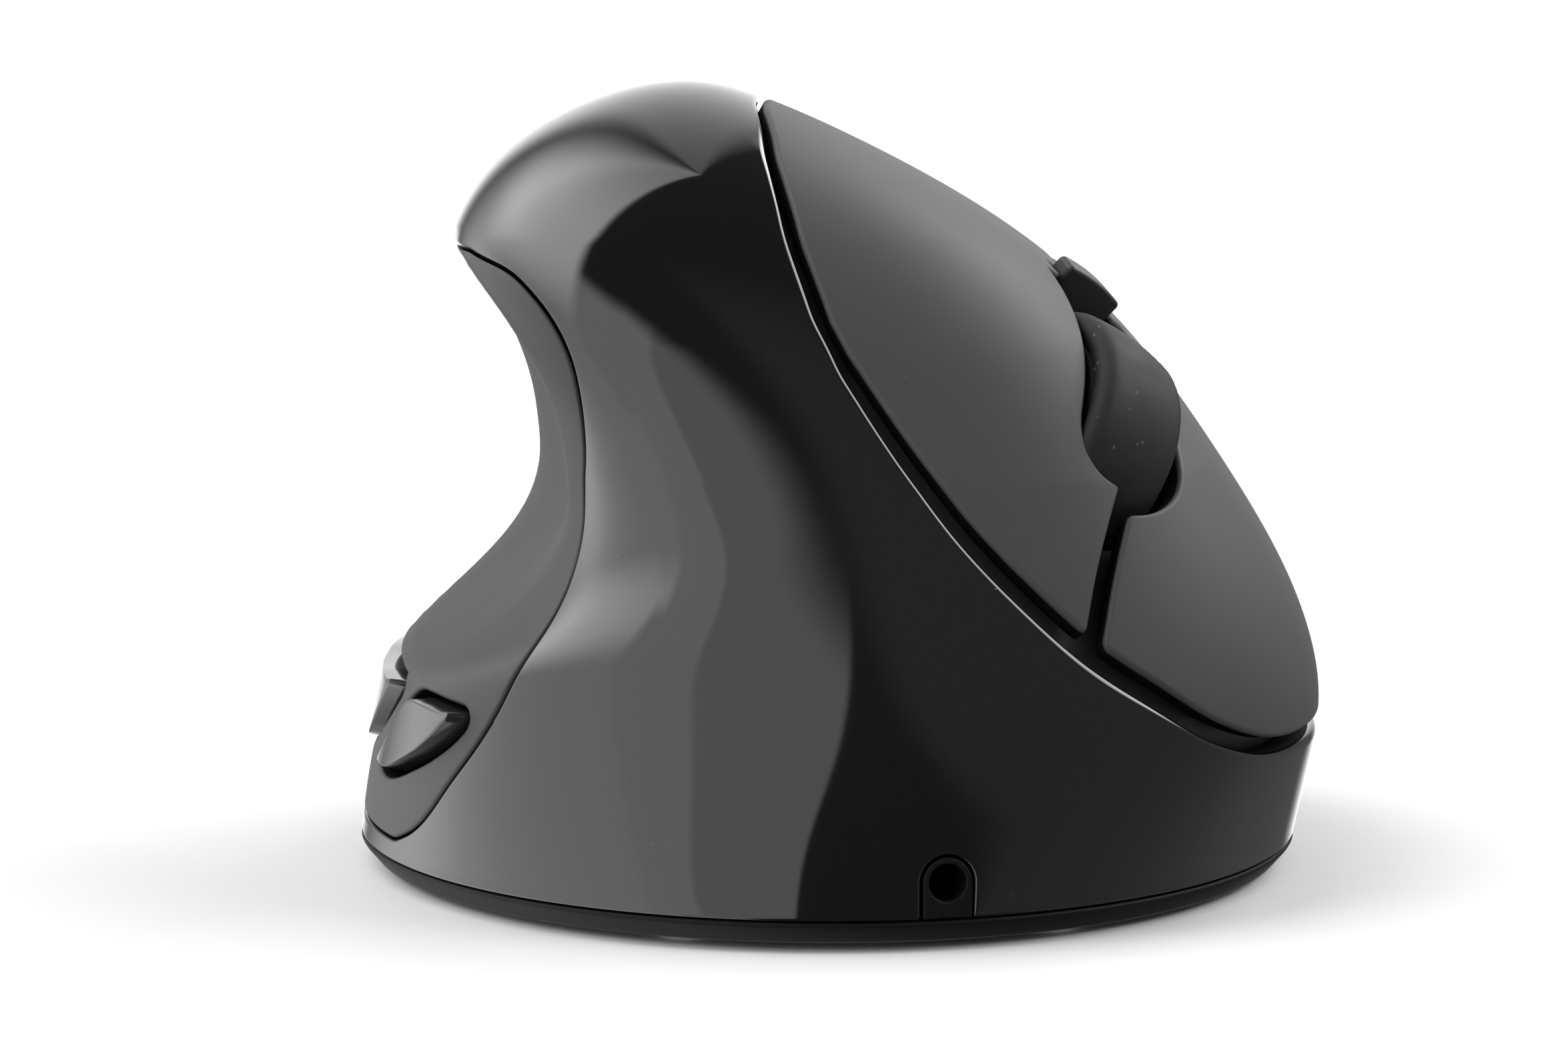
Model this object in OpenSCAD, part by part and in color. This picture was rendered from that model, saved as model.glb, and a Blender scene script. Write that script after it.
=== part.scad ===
// Vertical mouse for the left hand, with two finger buttons, a wheel and two thumb buttons.
// +Z is up, -Y is the front, +X is the finger side, and Z = 0 is the desk.

/* [Body] */
// Width across the thumb side and the finger side
body_w = 86; // [80:1:92]
// Length from front to back
body_l = 92; // [86:1:98]
// Height from the desk to the crown
body_h = 69; // [65:1:73]
// Wall of the glossy shell
wall = 2.8; // [2.4:0.1:3.2]
// Gap at the seams between fixed pieces
seam = 0.2; // [0.1:0.05:0.3]
// Depth of the thumb hollow
hollow_depth = 14; // [11:0.5:15]

/* [Base] */
// Height of the base band, from the desk to the seam
base_h = 2.6; // [2.4:0.1:3.2]
// Height of the glide feet
foot_h = 0.6; // [0.4:0.1:0.8]
// How far the base band tapers in towards the desk
base_taper = 1.2; // [0.6:0.1:2]

/* [Finger buttons] */
// Thickness of the finger plates
plate_t = 1.6; // [1.2:0.1:1.8]
// Clear space under the finger plates, for their travel
press_room = 1.4; // [1.2:0.1:1.8]
// Thickness of the frame under the finger plates
frame_t = 1.4; // [1.2:0.1:2]
// Diameter of the hinge pins
hinge_d = 1.6; // [1.2:0.1:2]

/* [Thumb buttons] */
// How far the thumb buttons stand proud of the panel
thumb_proud = 1.1; // [0.8:0.1:1.6]
// Thickness of the thumb panel
panel_t = 1.8; // [1.4:0.1:2]
// Gap round the thumb buttons
thumb_gap = 0.5; // [0.4:0.05:0.7]

/* [Wheel] */
// Diameter over the tyre
wheel_d = 22.6; // [21:0.2:24]
// Width of the tyre
wheel_w = 9.4; // [8.6:0.2:9.6]
// How far the wheel stands out of the finger plates
wheel_proud = 1.9; // [1.4:0.1:2.6]
// Diameter of the wheel axle
axle_d = 2.2; // [1.8:0.1:2.6]
// Play of the axle and the hinge pins in their bores, on the radius
play = 0.06; // [0.03:0.01:0.1]

/* [Resolution button] */
// Width of the cap across the wheel
dpi_w = 6.4; // [5.6:0.2:6.8]
// Length of the cap along the wheel
dpi_l = 2.8; // [2.4:0.1:3.2]
// How far the cap stands proud of the plates
dpi_proud = 1.5; // [1.2:0.1:2]

/* [Electronics] */
// Thickness of the circuit boards
pcb_t = 1.6; // [1:0.2:1.8]
// Underside of the main board above the desk
pcb_z = 8.4; // [8:0.1:9.4]
// Length of the battery
battery_l = 36; // [30:1:40]
// Width of the battery
battery_w = 22; // [18:1:24]
// Thickness of the battery
battery_t = 6; // [5:0.5:7]
// Bore of the charging inlet
inlet_d = 3.1; // [2.6:0.1:3.4]

/* [Fasteners] */
// Diameter of the case screws
screw_d = 2.2; // [2:0.1:2.6]
// Length of the case screws under the head
screw_l = 7; // [5:0.5:9]
// Diameter of the board screws
pcb_screw_d = 1.8; // [1.6:0.1:2]

/* [Hidden] */
$fn = 32;

// Lines plan: height over the base seam, then the thumb, finger, front and back reach there
plan_w = 86;
plan_l = 92;
plan_h = 66.4;
plan_mid = [0.75, 0.75];
kx = body_w / plan_w;
ky = body_l / plan_l;
kz = (body_h - base_h) / plan_h;
lines_plan = [
    [0, -41.8, 41.5, -45.5, 47],
    [6.4, -41, 42.8, -45, 47],
    [13.4, -39.2, 44.2, -44, 46],
    [23.4, -37.2, 41, -41.5, 43.5],
    [34.4, -36, 34, -38.5, 39],
    [45.4, -34.6, 26.2, -35.5, 33],
    [54.4, -33.4, 15.6, -32, 25],
    [61.4, -28, 2.6, -26, 15],
    [65.6, -19.5, -6.8, -17, 3],
    [66.8, -12.5, -12.5, -7, -7]];
rows = [for (r = lines_plan) [base_h + r[0] * kz, (r[1] - plan_mid[0]) * kx, (r[2] - plan_mid[0]) * kx,
    (r[3] - plan_mid[1]) * ky, (r[4] - plan_mid[1]) * ky]];
crown = len(rows) - 1;
below = rows[crown - 1];
control = concat([2 * rows[0] - rows[1]], rows, [[below[0], below[2], below[1], below[4], below[3]]]);

// Squareness of the sections, and how an inset turns from sideways to downwards, by station
square_by_station = [[0, 0], [2, 0.03], [4, 0.06], [5, 0.06], [6, 0.05], [8, 0.01], [9, 0]];
drop_by_station = [[0, 0], [1.5, 0], [3, 0.6], [5, 0.7], [7, 0.9], [9, 1]];

// Thumb hollow: its middle, its half widths, and how softly its lip rolls above and at its ends
hollow_turn = 190;
hollow_half_turn = 60;
hollow_z = base_h + 31.4 * kz;
hollow_up = 21.5 * kz;
hollow_down = 15.5 * kz;
hollow_lip = 0.45;
hollow_soft = 1.8;

// Edge of the finger plates: turn angle, lower station and upper station, from the front end round
// to the finger side; the back half mirrors it
plate_edge = [[277, 4.85, 5.3], [278.5, 4.45, 5.65], [280.5, 4.05, 6], [283.5, 3.6, 6.3],
    [288, 3.15, 6.65], [294, 2.7, 7], [302, 2.3, 7.3], [312, 1.88, 7.58], [324, 1.6, 7.8],
    [340, 1.53, 7.93], [360, 1.53, 7.97]];
// Split between the index and the middle button: turn angle and station
split_line = [[294, 2.55], [296, 2.9], [299, 3.28], [303, 3.62], [308, 3.93], [315, 4.26], [321, 4.52],
    [327, 4.78], [338, 5.14], [349, 5.46], [360, 5.6], [372, 5.6], [390, 5.5]];
// Front seam of the thumb panel: station and turn angle; the back seam mirrors it
thumb_edge = [[0.28, 206], [0.5, 211], [0.8, 215], [1.3, 219.5], [1.85, 224.7], [2.35, 229],
    [2.85, 232.2], [3.4, 233], [3.8, 235], [4.2, 238.5], [4.6, 240.8], [4.95, 241], [5.25, 238.5],
    [5.5, 234], [5.7, 227], [5.84, 212]];
thumb_mirror = 364;
// Outlines of the thumb buttons: turn angle, lower station and upper station
forward_edge = [[196, 1.14, 1.28], [199, 1.1, 1.52], [202, 1.12, 1.74], [205.5, 1.21, 1.96],
    [209, 1.34, 2.12], [213, 1.5, 2.13], [217, 1.7, 2.11], [219.5, 1.85, 2.1], [221.5, 2, 2.09]];
back_edge = [[156, 1.56, 1.78], [160, 1.45, 2.02], [166, 1.36, 2.16], [174, 1.28, 2.2], [182, 1.2, 2.2],
    [186, 1.22, 2.2], [190, 1.4, 2.2], [194, 1.62, 2.2], [198, 1.85, 2.19], [202, 2.1, 2.18]];

// Grooves in degrees and stations, as they run over the skin
groove_turn = 0.982;
groove_low = 0.17;
groove_top = 0.06;
split_turn = 1;
split_station = 0.03;
button_end = 384;
palm_start = 385;
seam_turn = seam * 1.5;
seam_station = seam * 0.1;
cap_turn = 2;
flange_turn = 0.6;
cap_station = 0.13;
frame_turn = 3;
frame_station = 0.2;

frame_inset = plate_t + press_room;
flange_gap = 0.15;
flange_inset = wall + seam + flange_gap;
flange_t = 1.2;
palm_seat = 0.25;
pocket_turn = 3;
pocket_station = 0.3;
far_out = -6;
far_in = 9;
// Sink of a boss into what carries it, overrun of a cut, and clear room round screws and knobs
root = 0.2;
over = 1;
room = 0.4;
cut_low = -4;
cut_high = 20;

// Deck: the slanted plane of the wheel and the finger board
wheel_turn = 327;
wheel_station = 4.7;
wheel_r = wheel_d / 2;
deck_n = unit([0.66, -0.2, 0.72]);
deck_e = unit(square_to([0.22, -0.87, -0.44], deck_n));
deck_s = cross(deck_n, deck_e);
deck_c = skin(wheel_turn, wheel_station) - deck_n * (wheel_r - wheel_proud);
slot_middle = -0.9;
slot_room = 1.2;
slot_half = wheel_w / 2 + slot_room;
slot_front = 6.8;
slot_back = -9.2;
middle_slot_back = -13;
frame_slot_back = -11;
frame_slot_room = 0.6;
nub_room = 1.6;
deck_pcb_n = -7.2;
wheel_s = slot_middle;
cheek_gap = 0.5;
cheek_in = wheel_w / 2 + cheek_gap;
cheek_t = 1.2;
cheek_out = cheek_in + cheek_t;
cradle_e = -20.2;
cradle_n = -1;
cradle_pin_d = 1.6;
ear_gap = 0.3;
ear_t = 1.4;
pin_end = 0.3;
switch_e = -3;
switch_size = [12.8, 5.6, 6.2];
index_s = -10.4;
middle_s = 13.2;
stem_e = 3;
stem_size = [1.2, 2.8];
stem_h = 0.9;
stem_gap = 0.3;
stem_fit = 0.1;
stem_well = 2;
stem_in = 0.8;
tact_w = 4.4;
tact_h = 3.6;
tact_stem_d = 2.2;
tact_stem_h = 0.8;
tact_well = 1.4;
tact_in = 0.7;
wheel_tact = [9.4, wheel_s + cheek_out + tact_w / 2 + stem_fit * 2];
dpi_e = -13.8;
dpi_gap = 0.4;
nub_d = 2.6;
frame_posts = [[-24, -10.5], [-24, 13.5], [9.8, 14.2]];
frame_post_r = 2.2;
frame_pin_r = 0.9;
pin_room = 0.15;
pin_out = 0.6;
finger_board = [[-26.5, -13.4], [5.4, -13.4], [9.6, -8], [11.8, 0], [11.8, 16.4], [-26.5, 16.4]];

// Hinges of the finger buttons: turn angle, end stations and depth under the skin
hinge_turn = 380;
hinge_drop = 1.8;
ear_root_d = 1;
hinge_inset = frame_inset + frame_t + hinge_drop;
index_hinge = [5.9, 7.2];
middle_hinge = [2.6, 5.2];
lug_at = 0.2;
lug_half = 1.2;
fork_out = 0.06;
bore_out = 0.2;
index_pin_out = 0.13;
middle_pin_out = 0.1;
fork_half = 1;
lug_d = hinge_d + 2.4;
window_room = 1.6;

// Base layout
outline_n = 96;
pcb_top = pcb_z + pcb_t;
post_turns = [250, 300, 48, 132];
post_r = 3;
post_inset = 5;
post_h = 9.4;
head_d = 4;
head_h = 1.3;
screw_fit = 0.1;
cross = [2.4, 0.5, 0.8];
pcb_head_h = 1.2;
pcb_screw_tip = 0.4;
standoffs = [[-14, -26], [18, -19], [2, 4]];
standoff_r = 2.6;
pcb_screw_l = 5;
sensor_at = [2, -12];
battery_front = 9.2;
tray_t = 1.2;
thumb_board_turn = 196;
thumb_board_station = 1.7;
thumb_board_depth = 9.6;
thumb_board_x = skin(thumb_board_turn, thumb_board_station)[0] + thumb_board_depth;
thumb_board = [[-24, 16], [5, 21]];
thumb_switch_y = [-17.6, 2.5];
thumb_switch_z = base_h + 10.2 * kz;
rib = [3, 4];
rib_in = 1;
rib_drop = 2;
inlet_turn = 283;
inlet_z = 5.6;
collar_w = 4.4;
collar_top = 8.6;
collar_depth = 4;
collar_out = 3;
collar_half_turn = 10;
jack_l = 11;
jack_w = 6.4;
jack_h = 5;
jack_end = 2;
power_at = [15, -6];
power_size = [9, 4, 3.6];
power_travel = 2;
power_knob = [2, 1.6];
power_well = 1.4;
knob_low = 1;
knob_in = 1;
foot_sink = 0.5;

function unit(v) = v / norm(v);
function square_to(v, n) = v - n * (v * n);
function spread(a, b, n) = [for (i = [0:n]) a + (b - a) * i / n];

// Uniform cubic through the rows of the lines plan, at a station from 0 (seam) to the crown
function blend4(a, b, c, d, u) =
    ((1 - u) ^ 3 * a + (3 * u ^ 3 - 6 * u ^ 2 + 4) * b + (-3 * u ^ 3 + 3 * u ^ 2 + 3 * u + 1) * c
    + u ^ 3 * d) / 6;
function row_at(t) =
    let (i = min(max(floor(t), 0), crown - 1))
    blend4(control[i], control[i + 1], control[i + 2], control[i + 3], t - i);

// Smooth curve through the rows of a table, read at x in column k
function slope(tab, i, k) =
    let (a = max(i - 1, 0), b = min(i + 1, len(tab) - 1))
    (tab[b][k] - tab[a][k]) / (tab[b][0] - tab[a][0]);
function segment(tab, x, i = 0) =
    i >= len(tab) - 2 || x < tab[i + 1][0] ? i : segment(tab, x, i + 1);
function curve(tab, x, k = 1) =
    let (i = segment(tab, x), h = tab[i + 1][0] - tab[i][0], u = (x - tab[i][0]) / h)
    (2 * u ^ 3 - 3 * u ^ 2 + 1) * tab[i][k] + (u ^ 3 - 2 * u ^ 2 + u) * h * slope(tab, i, k)
    + (3 * u ^ 2 - 2 * u ^ 3) * tab[i + 1][k] + (u ^ 3 - u ^ 2) * h * slope(tab, i + 1, k);

// Depth of the thumb hollow, fading to nothing past its lip
function hollow(th, z) =
    let (a = (th - hollow_turn) / hollow_half_turn,
        h = z > hollow_z ? (z - hollow_z) / hollow_up : (z - hollow_z) / hollow_down,
        lip = hollow_lip + hollow_soft * min(a * a, 1),
        d = hollow_depth * (1 - a * a - h * h) / lip)
    d < -30 ? 0 : lip * ln(1 + exp(d));

// Point of the skin at a turn angle and a station, inset by w
function skin(th, t, w = 0) =
    let (v = row_at(t), a = (v[2] - v[1]) / 2, b = (v[4] - v[3]) / 2,
        q = lookup(t, square_by_station),
        out = unit([cos(th) / max(a, 1), sin(th) / max(b, 1)]),
        d = hollow(th, v[0]) + w * (1 - (t / crown) ^ 6))
    [(v[1] + v[2]) / 2 + a * (cos(th) - q * cos(3 * th)) / (1 - q) - d * out[0],
        (v[3] + v[4]) / 2 + b * (sin(th) + q * sin(3 * th)) / (1 - q) - d * out[1],
        v[0] - w * lookup(t, drop_by_station)];
function flat(v) = [v[0], v[1]];

// Height over the deck of the skin at an inset, above a place on the deck, by Newton steps
function deck_place(p) = [(p - deck_c) * deck_e, (p - deck_c) * deck_s, (p - deck_c) * deck_n];
function deck_height(e, s, w, th = wheel_turn, t = wheel_station, steps = 8) =
    let (p = deck_place(skin(th, t, w)))
    steps == 0 ? p[2] :
    let (a = deck_place(skin(th + 1, t, w)) - p, b = (deck_place(skin(th, t + 0.1, w)) - p) * 10,
        de = e - p[0], ds = s - p[1], det = a[0] * b[1] - a[1] * b[0])
    deck_height(e, s, w, th + (de * b[1] - ds * b[0]) / det, t + (a[0] * ds - a[1] * de) / det, steps - 1);

function mirrored(th) = th <= 360 ? th : 720 - th;
function edge_low(th) = curve(plate_edge, mirrored(th), 1);
function edge_top(th) = curve(plate_edge, mirrored(th), 2);
function plate_low(th) = edge_low(360 + (th - 360) / groove_turn) + groove_low;
function plate_top(th) = edge_top(360 + (th - 360) / groove_turn) - groove_top;
function index_low(th) =
    max(plate_low(th), th > 294.5 ? curve(split_line, th + split_turn) + split_station : 0);
function middle_top(th) = curve(split_line, th - split_turn) - split_station;
function thumb_front(t) = curve(thumb_edge, t);

// Solid between two grids of points over the same patch of skin
module slab(outer, inner) {
    nr = len(outer);
    nc = len(outer[0]);
    n = nr * nc;
    rim = concat([for (i = [0:nc - 1]) i], [for (j = [1:nr - 1]) j * nc + nc - 1],
        [for (i = [nc - 2:-1:0]) (nr - 1) * nc + i], [for (j = [nr - 2:-1:1]) j * nc]);
    m = len(rim);
    polyhedron(points = concat([for (r = outer) each r], [for (r = inner) each r]),
        faces = concat(
            [for (j = [0:nr - 2], i = [0:nc - 2])
                each let (a = j * nc + i, c = a + nc) [[a, c, c + 1], [a, c + 1, a + 1]]],
            [for (j = [0:nr - 2], i = [0:nc - 2])
                each let (a = n + j * nc + i, c = a + nc) [[a, c + 1, c], [a, a + 1, c + 1]]],
            [for (k = [0:m - 1])
                each let (a = rim[k], b = rim[(k + 1) % m]) [[a, b, a + n], [b, b + n, a + n]]]));
}

// Patch of skin in columns: low(th) to top(th) at each turn angle, between two insets
module column_patch(turns, low, top, steps, w0, w1) {
    grids = [for (w = [w0, w1]) [for (j = [0:steps])
        [for (th = turns) skin(th, low(th) + (top(th) - low(th)) * j / steps, w)]]];
    slab(grids[0], grids[1]);
}

// Patch of skin in rows: from back(t) to front(t) at each station, between two insets
module row_patch(stations, back, front, steps, w0, w1) {
    grids = [for (w = [w0, w1]) [for (t = stations)
        [for (i = [0:steps]) skin(back(t) + (front(t) - back(t)) * i / steps, t, w)]]];
    slab(grids[0], grids[1]);
}

// Whole skin as a shell, open at the base seam
module whole_shell(w0, w1) {
    nc = 72;
    stations = concat(spread(0, 2.1, 7), spread(2.25, 2.85, 4), spread(3.1, 8.4, 18), [8.7]);
    nr = len(stations);
    n = nr * nc + 1;
    points = [for (w = [w0, w1]) each concat(
        [for (t = stations) each [for (i = [0:nc - 1]) skin(360 * i / nc, t, w)]], [skin(0, crown, w)])];
    polyhedron(points = points, faces = concat(
        [for (j = [0:nr - 2], i = [0:nc - 1])
            each let (a = j * nc + i, b = j * nc + (i + 1) % nc) [[a, a + nc, b + nc], [a, b + nc, b]]],
        [for (j = [0:nr - 2], i = [0:nc - 1])
            each let (a = n + j * nc + i, b = n + j * nc + (i + 1) % nc)
                [[a, b + nc, a + nc], [a, b, b + nc]]],
        [for (i = [0:nc - 1])
            each let (k = (nr - 1) * nc, a = k + i, b = k + (i + 1) % nc)
                [[a, n - 1, b], [a + n, b + n, 2 * n - 1]]],
        [for (i = [0:nc - 1]) each let (b = (i + 1) % nc) [[i, b, i + n], [b, b + n, i + n]]]));
}

// Boolean work on skin patches, kept as one faceted solid
module moulded() {
    resize([0, 0, 0]) children();
}

module deck() {
    multmatrix([[deck_e[0], deck_s[0], deck_n[0], deck_c[0]], [deck_e[1], deck_s[1], deck_n[1], deck_c[1]],
        [deck_e[2], deck_s[2], deck_n[2], deck_c[2]], [0, 0, 0, 1]]) children();
}

module box(a, b) {
    translate(a) cube(b - a);
}

// Cylinder from one point to another
module rod(a, b, d) {
    v = b - a;
    translate(a) rotate([0, acos(v[2] / norm(v)), atan2(v[1], v[0])]) cylinder(d = d, h = norm(v));
}

module outline(inset) {
    polygon([for (i = [0:outline_n - 1]) flat(skin(360 * i / outline_n, 0, inset))]);
}

function hinge_point(span, f) =
    skin(hinge_turn, span[0], hinge_inset) * (1 - f) + skin(hinge_turn, span[1], hinge_inset) * f;
function hinge_axis(span) = unit(hinge_point(span, 1) - hinge_point(span, 0));

// Ear on a hinge line, joined to the skin at the given inset
module hinge_ear(span, f, half, inset) {
    reach = hinge_axis(span) * half;
    pin = hinge_point(span, f);
    top = skin(hinge_turn, span[0] + (span[1] - span[0]) * f, inset);
    hull() {
        rod(pin - reach, pin + reach, lug_d, $fn = 20);
        rod(top - reach, top + reach, ear_root_d, $fn = 8);
    }
}
module hinge_rod(span, f, d) {
    rod(hinge_point(span, -f), hinge_point(span, 1 + f), d);
}

module slot_cut(back, grow, n0, n1) {
    deck() translate([0, 0, n0]) linear_extrude(n1 - n0) {
        translate([back, slot_middle - slot_half - grow])
            square([slot_front - back, 2 * (slot_half + grow)]);
        translate([slot_front, slot_middle]) circle(r = slot_half + grow);
    }
}
dpi_top_n = deck_height(dpi_e, slot_middle, 0) + dpi_proud;
module dpi_block(grow, n0, n1) {
    half = [dpi_l / 2 + grow, dpi_w / 2 + grow];
    deck() box([dpi_e - half[0], slot_middle - half[1], n0], [dpi_e + half[0], slot_middle + half[1], n1]);
}
module nub(s, n0, n1, d) {
    deck() translate([switch_e + stem_e, s, n0]) cylinder(d = d, h = n1 - n0, $fn = 20);
}
stem_top = deck_pcb_n + switch_size[2] + stem_h;
tact_top = deck_pcb_n + tact_h + tact_stem_h;

module base_solid() {
    n = outline_n;
    low = [for (i = [0:n - 1]) let (p = skin(360 * i / n, 0, base_taper)) [p[0], p[1], foot_h]];
    top = [for (i = [0:n - 1]) skin(360 * i / n, 0)];
    polyhedron(points = concat(low, top), faces = concat([[for (i = [0:n - 1]) i]],
        [[for (i = [n - 1:-1:0]) n + i]],
        [for (i = [0:n - 1]) let (j = (i + 1) % n) [i, n + i, n + j, j]]));
}
function post_xy(i) = flat(skin(post_turns[i], 0, post_inset));
foot_front_at = [[-4 * kx, -37 * ky], [9 * kx, -37 * ky]];
foot_back_at = [[-9 * kx, 38 * ky], [9 * kx, 38 * ky]];
foot_side_at = [[-33 * kx, -6 * ky], [-33 * kx, 10 * ky]];
foot_r = 3;
module foot_shape(ends, grow, h) {
    v = ends[1] - ends[0];
    translate(ends[0]) rotate(atan2(v[1], v[0])) linear_extrude(h) {
        circle(r = foot_r + grow);
        translate([norm(v), 0]) circle(r = foot_r + grow);
        translate([0, -foot_r - grow]) square([norm(v), 2 * (foot_r + grow)]);
    }
}
foot_top = foot_h + foot_sink;
lens_size = [13, 9, 1.4];
lens_hole = 7;
lens_room = 0.6;
lens_low = 1.2;
sight_d = 5;
chip = [10, 8, 2];
led_d = 3;
led_h = 2.2;
led_out = 9;
radio = [7, 7, 1];
radio_at = [-12.5, -10.5];

// Way of the power knob over its travel
module power_slot(grow, z0, z1) {
    half = [(power_travel + power_knob[0]) / 2 + grow, power_knob[1] / 2 + grow];
    box(concat(power_at - half, [z0]), concat(power_at + half, [z1]));
}

module base_plate() {
    color("#2b2b2d") difference() {
        union() {
            base_solid();
            for (p = standoffs)
                translate([p[0], p[1], base_h - root])
                    cylinder(r = standoff_r, h = pcb_z - base_h + root);
            for (y = [thumb_board[0][0] + rib_in, thumb_board[0][1] - rib_in - rib[1]])
                box([thumb_board_x + pcb_t, y, base_h - root],
                    [thumb_board_x + pcb_t + rib[0], y + rib[1], thumb_board[1][1] - rib_drop]);
        }
        for (p = standoffs)
            translate([p[0], p[1], pcb_top - pcb_screw_l]) cylinder(d = pcb_screw_d, h = pcb_screw_l);
        for (i = [0:3])
            translate(concat(post_xy(i), [0])) {
                cylinder(d = screw_d + room, h = base_h + over);
                cylinder(d = head_d + room, h = foot_h + head_h);
            }
        translate(concat(sensor_at, [0])) cylinder(d = lens_hole, h = base_h + over);
        power_slot(room, 0, base_h + over);
        for (ends = [foot_front_at, foot_back_at, foot_side_at])
            foot_shape(ends, seam / 2, foot_top);
    }
}

plate_front = plate_edge[0][0];
half_window = [plate_front, 277.6, 278.5, 280, 282, 285, 289, 294, 300, 307, 315, 324, 334, 347];
window_turns = concat(half_window, [360], [for (i = [len(half_window) - 1:-1:0]) 720 - half_window[i]]);
panel_low = thumb_edge[0][0];
panel_top = thumb_edge[len(thumb_edge) - 1][0];
panel_stations = concat(spread(panel_low, 1, 5), spread(1.2, 5, 23), [5.2, 5.38, 5.55, 5.7, 5.78, panel_top]);

module panel_window(w0, w1) {
    row_patch(panel_stations, function (t) thumb_mirror - thumb_front(t), function (t) thumb_front(t),
        24, w0, w1);
}
module plate_window(w0, w1) {
    column_patch(window_turns, function (th) edge_low(th), function (th) edge_top(th), 12, w0, w1);
}
inlet_out = let (v = skin(inlet_turn, 0, -1) - skin(inlet_turn, 0)) unit([v[0], v[1], 0]);
inlet_at = let (p = skin(inlet_turn, 0)) [p[0], p[1], inlet_z];
module at_inlet() {
    translate(inlet_at) rotate([0, 0, atan2(inlet_out[1], inlet_out[0])]) rotate([0, 90, 0]) children();
}
module collar_block(grow) {
    h = collar_top - inlet_z;
    translate([0, 0, -collar_depth]) linear_extrude(collar_depth + collar_out) {
        translate([-h + collar_w / 2, 0]) circle(d = collar_w + 2 * grow);
        translate([-h + collar_w / 2, -collar_w / 2 - grow])
            square([inlet_z - base_h + h - collar_w / 2, collar_w + 2 * grow]);
    }
}

module main_shell() {
    color("#0c0c0e") moulded() difference() {
        union() {
            whole_shell(0, wall);
            for (i = [0:3])
                translate(concat(post_xy(i), [base_h])) cylinder(r = post_r, h = post_h, $fn = 24);
        }
        for (i = [0:3])
            translate(concat(post_xy(i), [base_h - over]))
                cylinder(d = screw_d, h = screw_l + over, $fn = 16);
        panel_window(far_out, far_in);
        plate_window(far_out, far_in);
        at_inlet() collar_block(seam);
    }
}

module thumb_panel() {
    color("#3a3a3c") moulded() difference() {
        union() {
            row_patch([for (t = panel_stations)
                    min(max(t, panel_low + seam_station), panel_top - seam_station)],
                function (t) thumb_mirror - thumb_front(t) + seam_turn,
                function (t) thumb_front(t) - seam_turn, 28, 0, flange_inset + root);
            row_patch(concat([panel_low / 2], panel_stations),
                function (t) thumb_mirror - thumb_front(max(t, panel_low)) - frame_turn,
                function (t) thumb_front(max(t, panel_low)) + frame_turn,
                24, flange_inset, flange_inset + flange_t);
        }
        row_patch(spread(panel_low + pocket_station, panel_top - pocket_station, 24),
            function (t) thumb_mirror - thumb_front(t) + pocket_turn,
            function (t) thumb_front(t) - pocket_turn, 20, panel_t, far_in);
        thumb_cap(forward_edge, thumb_gap, thumb_gap * cap_turn, far_out, far_in);
        thumb_cap(back_edge, thumb_gap, thumb_gap * cap_turn, far_out, far_in);
    }
}

// Thumb button outline, grown in height and in turn at its ends, between two insets
module thumb_cap(edge, grow, ends, w0, w1) {
    n = len(edge) - 1;
    mid = (edge[0][0] + edge[n][0]) / 2;
    half = (edge[n][0] - edge[0][0]) / 2;
    wide = 1 + ends / half;
    turns = [for (th = spread(edge[0][0], edge[n][0], 14)) mid + (th - mid) * wide];
    column_patch(turns, function (th) curve(edge, mid + (th - mid) / wide, 1) - grow * cap_station,
        function (th) curve(edge, mid + (th - mid) / wide, 2) + grow * cap_station, 4, w0, w1);
}
cap_flange = 0.6;
flange_drop = 0.5;
cap_flange_t = 1;
cap_step = 0.1;
thumb_nub_l = 3.4;
thumb_nub_x = thumb_board_x - tact_h - tact_stem_h - stem_gap;
module thumb_button(edge, y) {
    color("#141416") moulded() union() {
        thumb_cap(edge, 0, 0, -thumb_proud, panel_t + flange_drop + cap_flange_t - cap_step);
        thumb_cap(edge, cap_flange, cap_flange * flange_turn, panel_t + flange_drop,
            panel_t + flange_drop + cap_flange_t);
        rod([thumb_nub_x - thumb_nub_l, y, thumb_switch_z], [thumb_nub_x, y, thumb_switch_z], nub_d,
            $fn = 20);
    }
}
module forward_button() {
    thumb_button(forward_edge, thumb_switch_y[0]);
}
module back_button() {
    thumb_button(back_edge, thumb_switch_y[1]);
}

palm_turns = concat(spread(palm_start, 415, 6), [421, 426, 431, 435, 438, 440, 441.4]);
module palm_plate() {
    color("#38383a") moulded()
        column_patch(palm_turns, function (th) plate_low(th), function (th) plate_top(th), 12, 0,
            frame_inset - palm_seat);
}

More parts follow.
